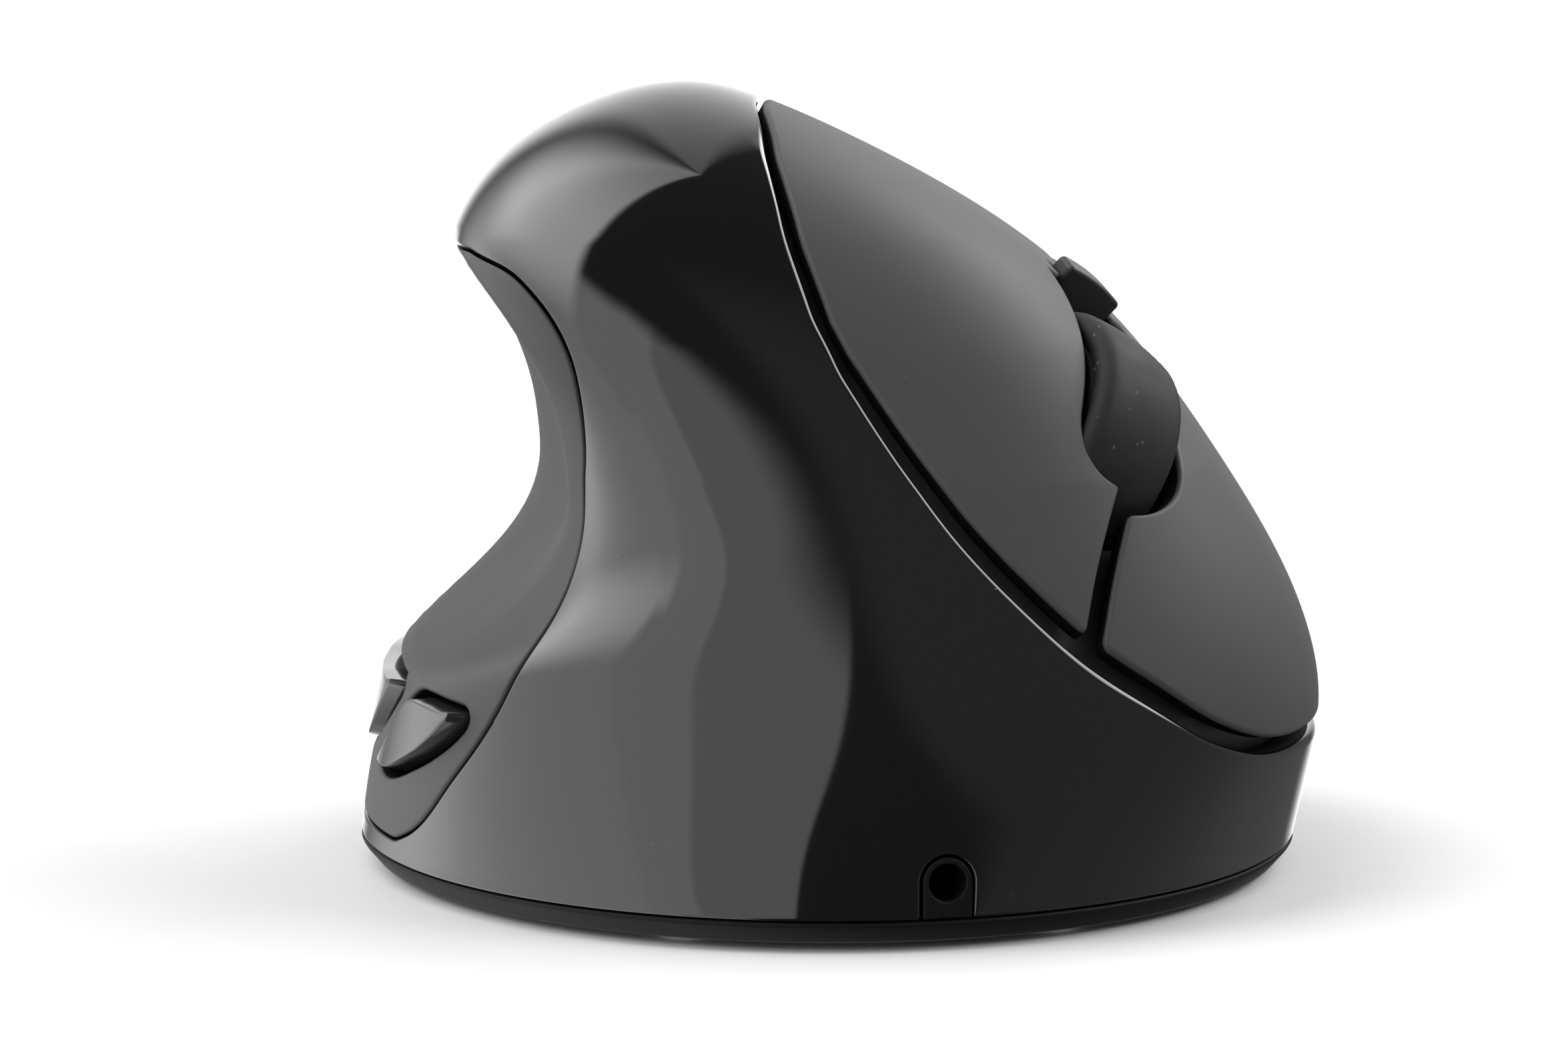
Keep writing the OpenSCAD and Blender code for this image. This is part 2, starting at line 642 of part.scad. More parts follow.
function frame_post_top(p) = deck_height(p[0], p[1], frame_inset + frame_t / 2);
module button_frame() {
    frame_front = plate_front - frame_turn;
    frame_turns = concat(spread(frame_front, 300, 8), spread(304, 416, 16),
        spread(420, 720 - frame_front, 8));
    shrink = (360 - plate_front) / (360 - frame_front);
    color("#1d1d1f") difference() {
        moulded() difference() {
            union() {
                column_patch(frame_turns,
                    function (th) edge_low(360 + (th - 360) * shrink) - frame_station,
                    function (th) edge_top(360 + (th - 360) * shrink) + frame_station,
                    12, frame_inset, frame_inset + frame_t);
                for (span = [index_hinge, middle_hinge], f = [-fork_out, 1 + fork_out])
                    hinge_ear(span, f, fork_half, frame_inset + frame_t / 2);
                for (p = frame_posts)
                    deck() translate([p[0], p[1], deck_pcb_n]) {
                        cylinder(r = frame_post_r, h = frame_post_top(p) - deck_pcb_n, $fn = 20);
                        translate([0, 0, -pcb_t - pin_out])
                            cylinder(r = frame_pin_r, h = pcb_t + pin_out + root, $fn = 16);
                    }
            }
            slot_cut(frame_slot_back, frame_slot_room, cut_low, cut_high);
            dpi_block(dpi_gap, cut_low, cut_high);
            nub(index_s, cut_low + stem_well, cut_high, nub_d + nub_room);
            nub(middle_s, cut_low + stem_well, cut_high, nub_d + nub_room);
            for (span = [index_hinge, middle_hinge], f = [lug_at, 1 - lug_at])
                hinge_window(span, f);
        }
        hinge_rod(index_hinge, bore_out, hinge_d);
        hinge_rod(middle_hinge, bore_out, hinge_d);
    }
}
// Clear way through the frame for an ear of a finger button
module hinge_window(span, f) {
    pin = hinge_point(span, f);
    top = skin(hinge_turn, span[0] + (span[1] - span[0]) * f, plate_t);
    rod(pin + (pin - top) / 2, top, lug_d + window_room, $fn = 24);
}

index_turns = concat([278.6, 279.1, 280, 281.5, 284, 287.5, 291, 294, 295.5, 297.5, 300, 303, 307, 312],
    spread(318, button_end, 11));
middle_turns = concat([296.8, 298, 300, 303, 307, 312], spread(318, button_end, 11));
module finger_button(turns, low, top, steps, span, s, back) {
    difference() {
        moulded() difference() {
            union() {
                column_patch(turns, low, top, steps, 0, plate_t);
                for (f = [lug_at, 1 - lug_at])
                    hinge_ear(span, f, lug_half, plate_t / 2);
                nub(s, stem_top + stem_gap, deck_height(switch_e + stem_e, s, plate_t / 2), nub_d);
            }
            slot_cut(back, 0, cut_low, cut_high);
            dpi_block(dpi_gap, cut_low, cut_high);
        }
        hinge_rod(span, bore_out, hinge_d + 2 * play);
    }
}
module index_button() {
    color("#3c3c3e")
        finger_button(index_turns, function (th) index_low(th), function (th) plate_top(th), 11,
            index_hinge, index_s, slot_back);
}
module middle_button() {
    color("#3c3c3e")
        finger_button(middle_turns, function (th) plate_low(th), function (th) middle_top(th), 12,
            middle_hinge, middle_s, middle_slot_back);
}
module index_hinge_pin() {
    color("silver") hinge_rod(index_hinge, index_pin_out, hinge_d);
}
module middle_hinge_pin() {
    color("silver") hinge_rod(middle_hinge, middle_pin_out, hinge_d);
}

dpi_flange = 0.6;
dpi_flange_n = 2.5;
dpi_flange_t = 1.1;
module dpi_button() {
    color("#262628") {
        dpi_block(0, dpi_flange_n - dpi_flange_t, dpi_top_n);
        dpi_block(dpi_flange, dpi_flange_n - dpi_flange_t, dpi_flange_n);
        deck() translate([dpi_e, slot_middle, tact_top + stem_gap])
            cylinder(d = nub_d, h = dpi_flange_n - tact_top - stem_gap);
    }
}

// Places the wheel's own pieces, square to the middle of its slot
module wheel_deck() {
    deck() translate([0, wheel_s, 0]) children();
}
tyre_t = 2.2;
tyre_round = 2;
hub_step = 0.4;
hub_w = wheel_w - 2 * hub_step;
hub_r = wheel_r - tyre_t;
module tyre_profile() {
    half = wheel_w / 2;
    arc = half - tyre_round;
    polygon(concat([[hub_r, -half], [hub_r, half]],
        [for (a = [90:-15:0]) [wheel_r - tyre_round * (1 - cos(a)), arc + tyre_round * sin(a)]],
        [for (a = [0:-15:-90]) [wheel_r - tyre_round * (1 - cos(a)), -arc + tyre_round * sin(a)]]));
}
module wheel_tyre() {
    color("#232325") wheel_deck() rotate([90, 0, 0]) rotate_extrude($fn = 96) tyre_profile();
}
hub_dish = 1.2;
hub_rim = 1.4;
hub_boss = 1.5;
module wheel_hub() {
    color("#2e2e30") wheel_deck() rotate([90, 0, 0]) difference() {
        cylinder(r = hub_r, h = hub_w, center = true, $fn = 96);
        cylinder(d = axle_d, h = hub_w + 2 * over, center = true);
        for (side = [-1, 1])
            translate([0, 0, side * hub_w / 2]) difference() {
                cylinder(r = hub_r - hub_rim, h = 2 * hub_dish, center = true, $fn = 64);
                cylinder(r = axle_d / 2 + hub_boss, h = 2 * hub_dish + over, center = true);
            }
    }
}
encoder_t = 3.4;
axle_out = 0.2;
module wheel_axle() {
    color("silver") wheel_deck() translate([0, -cheek_out - axle_out, 0]) rotate([-90, 0, 0])
        cylinder(d = axle_d, h = 2 * cheek_out + encoder_t + axle_out);
}
cheek_low = -2.6;
cheek_top = 0.6;
cheek_front = 3;
bar_half = 1.6;
boss_t = 1.2;
tab_n = tact_top + stem_gap;
tab_t = 1.4;
tab_half = 2;
tab_out = 1.6;
module wheel_cradle() {
    color("#4a4a4c") wheel_deck() difference() {
        union() {
            for (s = [-cheek_out, cheek_in]) {
                box([cradle_e - bar_half, s, cheek_low], [cheek_front, s + cheek_t, cheek_top]);
                translate([0, s, 0]) rotate([-90, 0, 0]) cylinder(r = axle_d / 2 + boss_t, h = cheek_t);
            }
            box([cradle_e - bar_half, -cheek_out, cheek_low], [cradle_e + bar_half, cheek_out, cheek_top]);
            box([cheek_front, cheek_in, tab_n], [wheel_tact[0] + tab_half, cheek_out, tab_n + tab_t]);
            box([wheel_tact[0] - tab_half, cheek_in, tab_n],
                [wheel_tact[0] + tab_half, wheel_tact[1] - wheel_s + tab_out, tab_n + tab_t]);
        }
        translate([0, -cheek_out - over, 0]) rotate([-90, 0, 0])
            cylinder(d = axle_d + 2 * play, h = 2 * (cheek_out + over));
        translate([cradle_e, -cheek_out - over, cradle_n]) rotate([-90, 0, 0])
            cylinder(d = cradle_pin_d + 2 * play, h = 2 * (cheek_out + over));
    }
}
ear_in = cheek_out + ear_gap;
ear_out = ear_in + ear_t;
module cradle_pin() {
    color("silver") wheel_deck() translate([cradle_e, -ear_out - pin_end, cradle_n]) rotate([-90, 0, 0])
        cylinder(d = cradle_pin_d, h = 2 * (ear_out + pin_end));
}
ear_half = 2;
ear_over = 1.8;
bracket_t = 1;
module cradle_bracket() {
    color("#4a4a4c") wheel_deck() difference() {
        union() {
            for (s = [-ear_out, ear_in])
                box([cradle_e - ear_half, s, deck_pcb_n],
                    [cradle_e + ear_half, s + ear_t, cradle_n + ear_over]);
            box([cradle_e - ear_half, -ear_out, deck_pcb_n],
                [cradle_e + ear_half, ear_out, deck_pcb_n + bracket_t]);
        }
        translate([cradle_e, -ear_out - over, cradle_n]) rotate([-90, 0, 0])
            cylinder(d = cradle_pin_d, h = 2 * (ear_out + over));
    }
}
encoder_half = 5;
encoder_low = -4.8;
encoder_top = 1.5;
module wheel_encoder() {
    color("#3d5a45") wheel_deck() difference() {
        box([-encoder_half, cheek_out, encoder_low], [encoder_half, cheek_out + encoder_t, encoder_top]);
        translate([0, cheek_out - over, 0]) rotate([-90, 0, 0])
            cylinder(d = axle_d + 2 * play, h = encoder_t + 2 * over);
    }
}
well_in = 0.6;
well_side = 1.4;
module finger_pcb() {
    color("#1e4d33") deck() translate([0, 0, deck_pcb_n - pcb_t]) linear_extrude(pcb_t) difference() {
        polygon(finger_board);
        translate([0, wheel_s]) square([2 * (wheel_r - well_in), wheel_w + 2 * well_side], center = true);
        for (p = frame_posts)
            translate(p) circle(r = frame_pin_r + pin_room);
    }
}
module switch_body(s) {
    color("#1a1a1a") deck() translate([switch_e, s, deck_pcb_n]) difference() {
        translate([-switch_size[0] / 2, -switch_size[1] / 2, 0]) cube(switch_size);
        translate([stem_e - stem_size[0] / 2 - stem_fit, -stem_size[1] / 2 - stem_fit,
            switch_size[2] - stem_well])
            cube([stem_size[0] + 2 * stem_fit, stem_size[1] + 2 * stem_fit, stem_well + over]);
    }
}
module switch_stem(s) {
    color("white") deck() translate([switch_e + stem_e - stem_size[0] / 2, s - stem_size[1] / 2,
        stem_top - stem_h - stem_in]) cube([stem_size[0], stem_size[1], stem_h + stem_in]);
}
module index_switch() { switch_body(index_s); }
module middle_switch() { switch_body(middle_s); }
module index_stem() { switch_stem(index_s); }
module middle_stem() { switch_stem(middle_s); }

// Tact switch: square case with a round well, and its stem, standing on the XY plane
module tact_case() {
    color("#262626") difference() {
        translate([-tact_w / 2, -tact_w / 2, 0]) cube([tact_w, tact_w, tact_h]);
        translate([0, 0, tact_h - tact_well]) cylinder(d = tact_stem_d + 2 * stem_fit, h = tact_well + over);
    }
}
module tact_stem() {
    color("#d8d4c8") translate([0, 0, tact_h - tact_in]) cylinder(d = tact_stem_d, h = tact_stem_h + tact_in);
}
module on_finger_pcb(p) {
    deck() translate([p[0], p[1], deck_pcb_n]) children();
}
module wheel_switch() { on_finger_pcb(wheel_tact) tact_case(); }
module wheel_stem() { on_finger_pcb(wheel_tact) tact_stem(); }
module dpi_switch() { on_finger_pcb([dpi_e, slot_middle]) tact_case(); }
module dpi_stem() { on_finger_pcb([dpi_e, slot_middle]) tact_stem(); }

module thumb_pcb() {
    color("#1e4d33") box([thumb_board_x, thumb_board[0][0], thumb_board[1][0]],
        [thumb_board_x + pcb_t, thumb_board[0][1], thumb_board[1][1]]);
}
module on_thumb_pcb(y) {
    translate([thumb_board_x, y, thumb_switch_z]) rotate([0, -90, 0]) children();
}
module forward_switch() { on_thumb_pcb(thumb_switch_y[0]) tact_case(); }
module forward_stem() { on_thumb_pcb(thumb_switch_y[0]) tact_stem(); }
module back_switch() { on_thumb_pcb(thumb_switch_y[1]) tact_case(); }
module back_stem() { on_thumb_pcb(thumb_switch_y[1]) tact_stem(); }

main_board = [[-22, -33], [8, -33], [22, -22], [22, 8], [-22, 8]];
module main_pcb() {
    color("#1e4d33") translate([0, 0, pcb_z]) linear_extrude(pcb_t) difference() {
        polygon(main_board);
        for (p = standoffs)
            translate(p) circle(d = pcb_screw_d + room);
        translate(sensor_at) circle(d = sight_d);
    }
}
module sensor_chip() {
    color("#101010") translate([sensor_at[0] - chip[0] / 2, sensor_at[1] - chip[1] / 2, pcb_top]) cube(chip);
}
module sensor_lens() {
    color("#c8d4dc") translate(concat(sensor_at, [base_h])) {
        translate([-lens_size[0] / 2, -lens_size[1] / 2, 0]) cube(lens_size);
        cylinder(d = sight_d - over, h = pcb_z - base_h);
        translate([0, 0, lens_low - base_h]) cylinder(d = lens_hole - lens_room, h = base_h);
    }
}
module sensor_led() {
    color("#b03030") translate([sensor_at[0] + led_out, sensor_at[1], pcb_top]) {
        cylinder(d = led_d, h = led_h);
        translate([0, 0, led_h]) sphere(d = led_d);
    }
}
module radio_chip() {
    color("#101010") translate([radio_at[0] - radio[0] / 2, radio_at[1] - radio[1] / 2, pcb_top]) cube(radio);
}
battery_z = base_h + tray_t;
module battery() {
    color("#b9bdc2") box([-battery_l / 2, battery_front, battery_z],
        [battery_l / 2, battery_front + battery_w, battery_z + battery_t]);
}
tray_rim = 1.5;
tray_lip = 2;
module battery_tray() {
    color("#2b2b2d") difference() {
        box([-battery_l / 2 - tray_rim, battery_front - tray_rim, base_h],
            [battery_l / 2 + tray_rim, battery_front + battery_w + tray_rim, battery_z + tray_lip]);
        box([-battery_l / 2 - seam, battery_front - seam, battery_z],
            [battery_l / 2 + seam, battery_front + battery_w + seam, battery_z + tray_lip + over]);
    }
}
module inlet_collar() {
    color("#2b2b2d") difference() {
        moulded() intersection() {
            at_inlet() collar_block(0);
            collar_form();
        }
        at_inlet() cylinder(d = inlet_d, h = 4 * (collar_depth + collar_out), center = true);
    }
}
// Space under the skin near the inlet, down to the base seam
module collar_form() {
    column_patch(spread(inlet_turn - collar_half_turn, inlet_turn + collar_half_turn, 4),
        function (th) 0, function (th) 2, 6, 0, far_in);
}
module charge_jack() {
    color("#1a1a1a") at_inlet() difference() {
        translate([-jack_h / 2, -jack_w / 2, -collar_depth - jack_l]) cube([jack_h, jack_w, jack_l]);
        translate([0, 0, -collar_depth - jack_l + jack_end]) cylinder(d = inlet_d, h = jack_l);
    }
}
module power_switch() {
    color("#8a8d90") difference() {
        translate([power_at[0] - power_size[0] / 2, power_at[1] - power_size[1] / 2, pcb_z - power_size[2]])
            cube(power_size);
        power_slot(seam, pcb_z - power_size[2] - over, pcb_z - power_size[2] + power_well);
    }
}
module power_slider() {
    color("#202020")
        translate([power_at[0] - (power_travel + power_knob[0]) / 2,
            power_at[1] - power_knob[1] / 2, knob_low])
            cube([power_knob[0], power_knob[1], pcb_z - power_size[2] + knob_in - knob_low]);
}
module foot_front() { color("#111111") foot_shape(foot_front_at, 0, foot_top); }
module foot_back() { color("#111111") foot_shape(foot_back_at, 0, foot_top); }
module foot_side() { color("#111111") foot_shape(foot_side_at, 0, foot_top); }

module case_screw(i) {
    color("silver") translate(concat(post_xy(i), [foot_h + head_h])) {
        difference() {
            translate([0, 0, -head_h + screw_fit]) cylinder(d = head_d, h = head_h - screw_fit);
            for (a = [0, 90])
                rotate(a) box([-cross[0] / 2, -cross[1] / 2, -head_h - over],
                    [cross[0] / 2, cross[1] / 2, -head_h + cross[2]]);
        }
        cylinder(d = screw_d - screw_fit, h = screw_l - head_h);
    }
}
module case_screw_1() { case_screw(0); }
module case_screw_2() { case_screw(1); }
module case_screw_3() { case_screw(2); }
module case_screw_4() { case_screw(3); }

module pcb_screw(i) {
    color("silver") translate(concat(standoffs[i], [pcb_top])) {
        cylinder(d = pcb_screw_d * 2, h = pcb_head_h);
        translate([0, 0, -pcb_screw_l + pcb_screw_tip])
            cylinder(d = pcb_screw_d - screw_fit, h = pcb_screw_l);
    }
}
module pcb_screw_1() { pcb_screw(0); }
module pcb_screw_2() { pcb_screw(1); }
module pcb_screw_3() { pcb_screw(2); }

base_plate();
main_shell();
thumb_panel();
palm_plate();
button_frame();
index_button();
middle_button();
index_hinge_pin();
middle_hinge_pin();
dpi_button();
forward_button();
back_button();
wheel_tyre();
wheel_hub();
wheel_axle();
wheel_cradle();
cradle_pin();
cradle_bracket();
wheel_encoder();
finger_pcb();
index_switch();
index_stem();
middle_switch();
middle_stem();
wheel_switch();
wheel_stem();
dpi_switch();
dpi_stem();
thumb_pcb();
forward_switch();
forward_stem();
back_switch();
back_stem();
main_pcb();
sensor_chip();
sensor_lens();
sensor_led();
radio_chip();
battery();
battery_tray();
inlet_collar();
charge_jack();
power_switch();
power_slider();
foot_front();
foot_back();
foot_side();
case_screw_1();
case_screw_2();
case_screw_3();
case_screw_4();
pcb_screw_1();
pcb_screw_2();
pcb_screw_3();
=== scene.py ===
# Vertical mouse for the left hand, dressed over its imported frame.
# Sizes are in millimetres and become metres as each mesh is made; +Z is up, -Y is the front.
import math

import bpy
import numpy as np
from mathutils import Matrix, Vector, kdtree
from mathutils.geometry import delaunay_2d_cdt


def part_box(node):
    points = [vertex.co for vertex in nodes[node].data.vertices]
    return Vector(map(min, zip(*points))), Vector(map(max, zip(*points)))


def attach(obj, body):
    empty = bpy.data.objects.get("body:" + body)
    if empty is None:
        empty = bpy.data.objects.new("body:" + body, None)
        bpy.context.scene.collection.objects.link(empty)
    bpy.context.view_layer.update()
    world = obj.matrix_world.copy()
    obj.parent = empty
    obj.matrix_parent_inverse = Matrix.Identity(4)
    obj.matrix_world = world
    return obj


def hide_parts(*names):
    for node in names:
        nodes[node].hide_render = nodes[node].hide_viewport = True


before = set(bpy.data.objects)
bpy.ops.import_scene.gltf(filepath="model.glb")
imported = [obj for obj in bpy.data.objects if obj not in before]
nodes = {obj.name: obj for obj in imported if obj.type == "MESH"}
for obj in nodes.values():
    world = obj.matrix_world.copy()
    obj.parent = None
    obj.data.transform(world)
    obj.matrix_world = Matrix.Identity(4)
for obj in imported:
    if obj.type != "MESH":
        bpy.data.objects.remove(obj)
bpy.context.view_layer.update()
MM = 0.001

# View: a long lens a little above the desk, square on to the front of the mouse, far enough away for
# the sides to look nearly parallel.
view_aim = Vector((-4.75, -0.75, 29.5)) * MM
view_distance = 420 * MM
view_rise = math.radians(6.8)
view_sensor = 36
view_lens = 108.1
camera_data = bpy.data.cameras.new("front_view")
camera_data.sensor_width = view_sensor
camera_data.lens = view_lens
camera_data.clip_start = 0.01
camera = bpy.data.objects.new("front_view", camera_data)
camera_back = Vector((0, -math.cos(view_rise), math.sin(view_rise)))
camera.location = view_aim + camera_back * view_distance
camera.rotation_euler = (-camera_back).to_track_quat("-Z", "Y").to_euler()
bpy.context.scene.collection.objects.link(camera)
bpy.context.scene.camera = camera

# Base plate: the low moulded tray in matte black that carries the boards and closes the shell from
# below. Its band tapers in towards the desk, and its underside has the feet, screws and lens holes.
base_h = 2.6
foot_h = 0.6
base_taper = 1.2
body_h = 69
plan_h = 66.4
plan_mid = (0.75, 0.75)
crown = 9
# Height over the base seam, then the thumb, finger, front and back reach there
lines_plan = np.array([
    [0, -41.8, 41.5, -45.5, 47],
    [6.4, -41, 42.8, -45, 47],
    [13.4, -39.2, 44.2, -44, 46],
    [23.4, -37.2, 41, -41.5, 43.5],
    [34.4, -36, 34, -38.5, 39],
    [45.4, -34.6, 26.2, -35.5, 33],
    [54.4, -33.4, 15.6, -32, 25],
    [61.4, -28, 2.6, -26, 15],
    [65.6, -19.5, -6.8, -17, 3],
    [66.8, -12.5, -12.5, -7, -7]])
plan_rows = lines_plan - np.array([0, plan_mid[0], plan_mid[0], plan_mid[1], plan_mid[1]])
plan_rows[:, 0] = base_h + lines_plan[:, 0] * (body_h - base_h) / plan_h
below_crown = plan_rows[crown - 1][[0, 2, 1, 4, 3]]
control_rows = np.vstack([2 * plan_rows[0] - plan_rows[1], plan_rows, below_crown])
# Squareness of the sections, and how an inset turns from sideways to downwards, by station
square_by_station = ([0, 2, 4, 5, 6, 8, 9], [0, 0.03, 0.06, 0.06, 0.05, 0.01, 0])
drop_by_station = ([0, 1.5, 3, 5, 7, 9], [0, 0, 0.6, 0.7, 0.9, 1])
hollow_depth = 14
hollow_turn = 190
hollow_half_turn = 60
hollow_z = 34.0
hollow_up = 21.5
hollow_down = 15.5
hollow_lip = 0.45
hollow_soft = 1.8


def skin_at(turn, station, inset):
    """Point of the body's skin at a turn angle in degrees and a station, inset by a depth."""
    i = np.clip(np.floor(station).astype(int), 0, crown - 1)
    u = (station - i)[..., None]
    row = ((1 - u) ** 3 * control_rows[i] + (3 * u ** 3 - 6 * u ** 2 + 4) * control_rows[i + 1]
           + (-3 * u ** 3 + 3 * u ** 2 + 3 * u + 1) * control_rows[i + 2] + u ** 3 * control_rows[i + 3]) / 6
    z, thumb, finger, front, back = np.moveaxis(row, -1, 0)
    a = (finger - thumb) / 2
    b = (back - front) / 2
    q = np.interp(station, *square_by_station)
    c = np.cos(np.radians(turn))
    s = np.sin(np.radians(turn))
    out = np.stack([c / np.maximum(a, 1), s / np.maximum(b, 1)], axis=-1)
    out = out / np.linalg.norm(out, axis=-1, keepdims=True)
    across = (np.mod(turn, 360) - hollow_turn) / hollow_half_turn
    along = (z - hollow_z) / np.where(z > hollow_z, hollow_up, hollow_down)
    lip = hollow_lip + hollow_soft * np.minimum(across ** 2, 1)
    scoop = lip * np.logaddexp(0, hollow_depth * (1 - across ** 2 - along ** 2) / lip)
    d = scoop + inset * (1 - (station / crown) ** 6)
    x = (thumb + finger) / 2 + a * (c - q * np.cos(np.radians(3 * turn))) / (1 - q) - d * out[..., 0]
    y = (front + back) / 2 + b * (s + q * np.sin(np.radians(3 * turn))) / (1 - q) - d * out[..., 1]
    return np.stack([x, y, z - inset * np.interp(station, *drop_by_station)], axis=-1)


def on_plan(turn, station):
    """Turn and station as a flat map of the body: the crown in the middle, the base seam outside."""
    turn, station = np.broadcast_arrays(np.asarray(turn, float), np.asarray(station, float))
    reach = crown - station
    return np.stack([reach * np.cos(np.radians(turn)), reach * np.sin(np.radians(turn))], axis=-1)


def skin(plan, inset=0.0):
    """Point of the skin for places on the flat map."""
    reach = np.maximum(np.hypot(plan[..., 0], plan[..., 1]), 1e-6)
    turn = np.degrees(np.arctan2(plan[..., 1], plan[..., 0]))
    return skin_at(turn, crown - reach, np.broadcast_to(inset, reach.shape))


def slopes(surface, plan):
    """The two tangents and the outward normal of a surface at places on its map."""
    h = 0.002
    du = (surface(plan + [h, 0]) - surface(plan - [h, 0])) / (2 * h)
    dv = (surface(plan + [0, h]) - surface(plan - [0, h])) / (2 * h)
    n = np.cross(du, dv)
    return du, dv, n / np.linalg.norm(n, axis=-1, keepdims=True)


def even_loop(loop, step, soften, surface):
    """A closed outline with its points a step apart on the surface and its corners softened."""
    closed = np.vstack([loop, loop[:1]])
    run = np.concatenate([[0], np.cumsum(np.linalg.norm(np.diff(surface(closed), axis=0), axis=1))])
    count = max(16, round(run[-1] / step))
    at = np.arange(count) * run[-1] / count
    fine = np.stack([np.interp(at, run, closed[:, k]) for k in (0, 1)], axis=1)
    for _ in range(round(2 * (soften / step) ** 2)):
        fine = (np.roll(fine, 1, axis=0) + 2 * fine + np.roll(fine, -1, axis=0)) / 4
    return fine


def rolled_edge(radius, depth, steps=5):
    """Edge profile from face to back: rows of how far in from the outline, and how deep."""
    turns = np.linspace(0, math.pi / 2, steps)
    return [(radius * (1 - math.sin(a)), radius * (1 - math.cos(a))) for a in turns] + [(0, depth)]


def trimmed(outline, *cuts):
    """Outline less its cuts, as closed loops with the sheet on their left."""
    points = []
    rings = []
    for ring in (outline, *cuts):
        rings.append(list(range(len(points), len(points) + len(ring))))
        points += [Vector(p) for p in ring]
    verts, _, faces, _, _, owners = delaunay_2d_cdt(points, [], rings, 1, 1e-7)
    kept = [f for f, owner in zip(faces, owners) if list(owner) == [0]]
    sides = {(f[k - 1], f[k]) for f in kept for k in range(len(f))}
    follow = {a: b for a, b in sides if (b, a) not in sides}
    loops = []
    while follow:
        start, at = follow.popitem()
        loop = [start]
        while at != start:
            loop.append(at)
            at = follow.pop(at)
        loops.append(np.array([verts[i] for i in loop]))
    return loops


def inward(surface, loop):
    """Along a loop: the normal, the direction into the sheet, and its map step for a millimetre."""
    du, dv, up = slopes(surface, loop)
    along = surface(np.roll(loop, -1, axis=0)) - surface(np.roll(loop, 1, axis=0))
    side = np.cross(up, along)
    side = side / np.linalg.norm(side, axis=1, keepdims=True)
    guu, guv, gvv = (du * du).sum(1), (du * dv).sum(1), (dv * dv).sum(1)
    bu, bv = (du * side).sum(1), (dv * side).sum(1)
    det = guu * gvv - guv ** 2
    return up, side, np.stack([(gvv * bu - guv * bv) / det, (guu * bv - guv * bu) / det], axis=1)


def put(name, made, body, slot, material, *replaced, inside=None):
    """A finished mesh from points in millimetres, faces and any normals, riding on a body. A sheet's
    back and the walls of its edges may have a finish of their own."""
    mesh = bpy.data.meshes.new(name)
    mesh.from_pydata((made[0] * MM).tolist(), [], made[1])
    mesh.validate()
    mesh.shade_smooth()
    if len(made) > 2:
        mesh.normals_split_custom_set_from_vertices(made[2].tolist())
    mesh.materials.append(material)
    if inside:
        mesh.materials.append(inside)
        mesh.polygons.foreach_set("material_index", made[3])
    piece = bpy.data.objects.new(name, mesh)
    bpy.context.scene.collection.objects.link(piece)
    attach(piece, body)
    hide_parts(*replaced)
    return piece


def inside_fence(cells, fence):
    """The triangles on the left of a fence of directed sides, found by spreading out from it."""
    beside = {(f[k - 1], f[k]): f for f in cells for k in range(3)}
    closed = set(fence)
    wave = [beside[side] for side in fence]
    kept = set()
    while wave:
        f = wave.pop()
        if f not in kept:
            kept.add(f)
            wave += [beside[f[k], f[k - 1]] for k in range(3) if (f[k - 1], f[k]) not in closed]
    return sorted(kept)


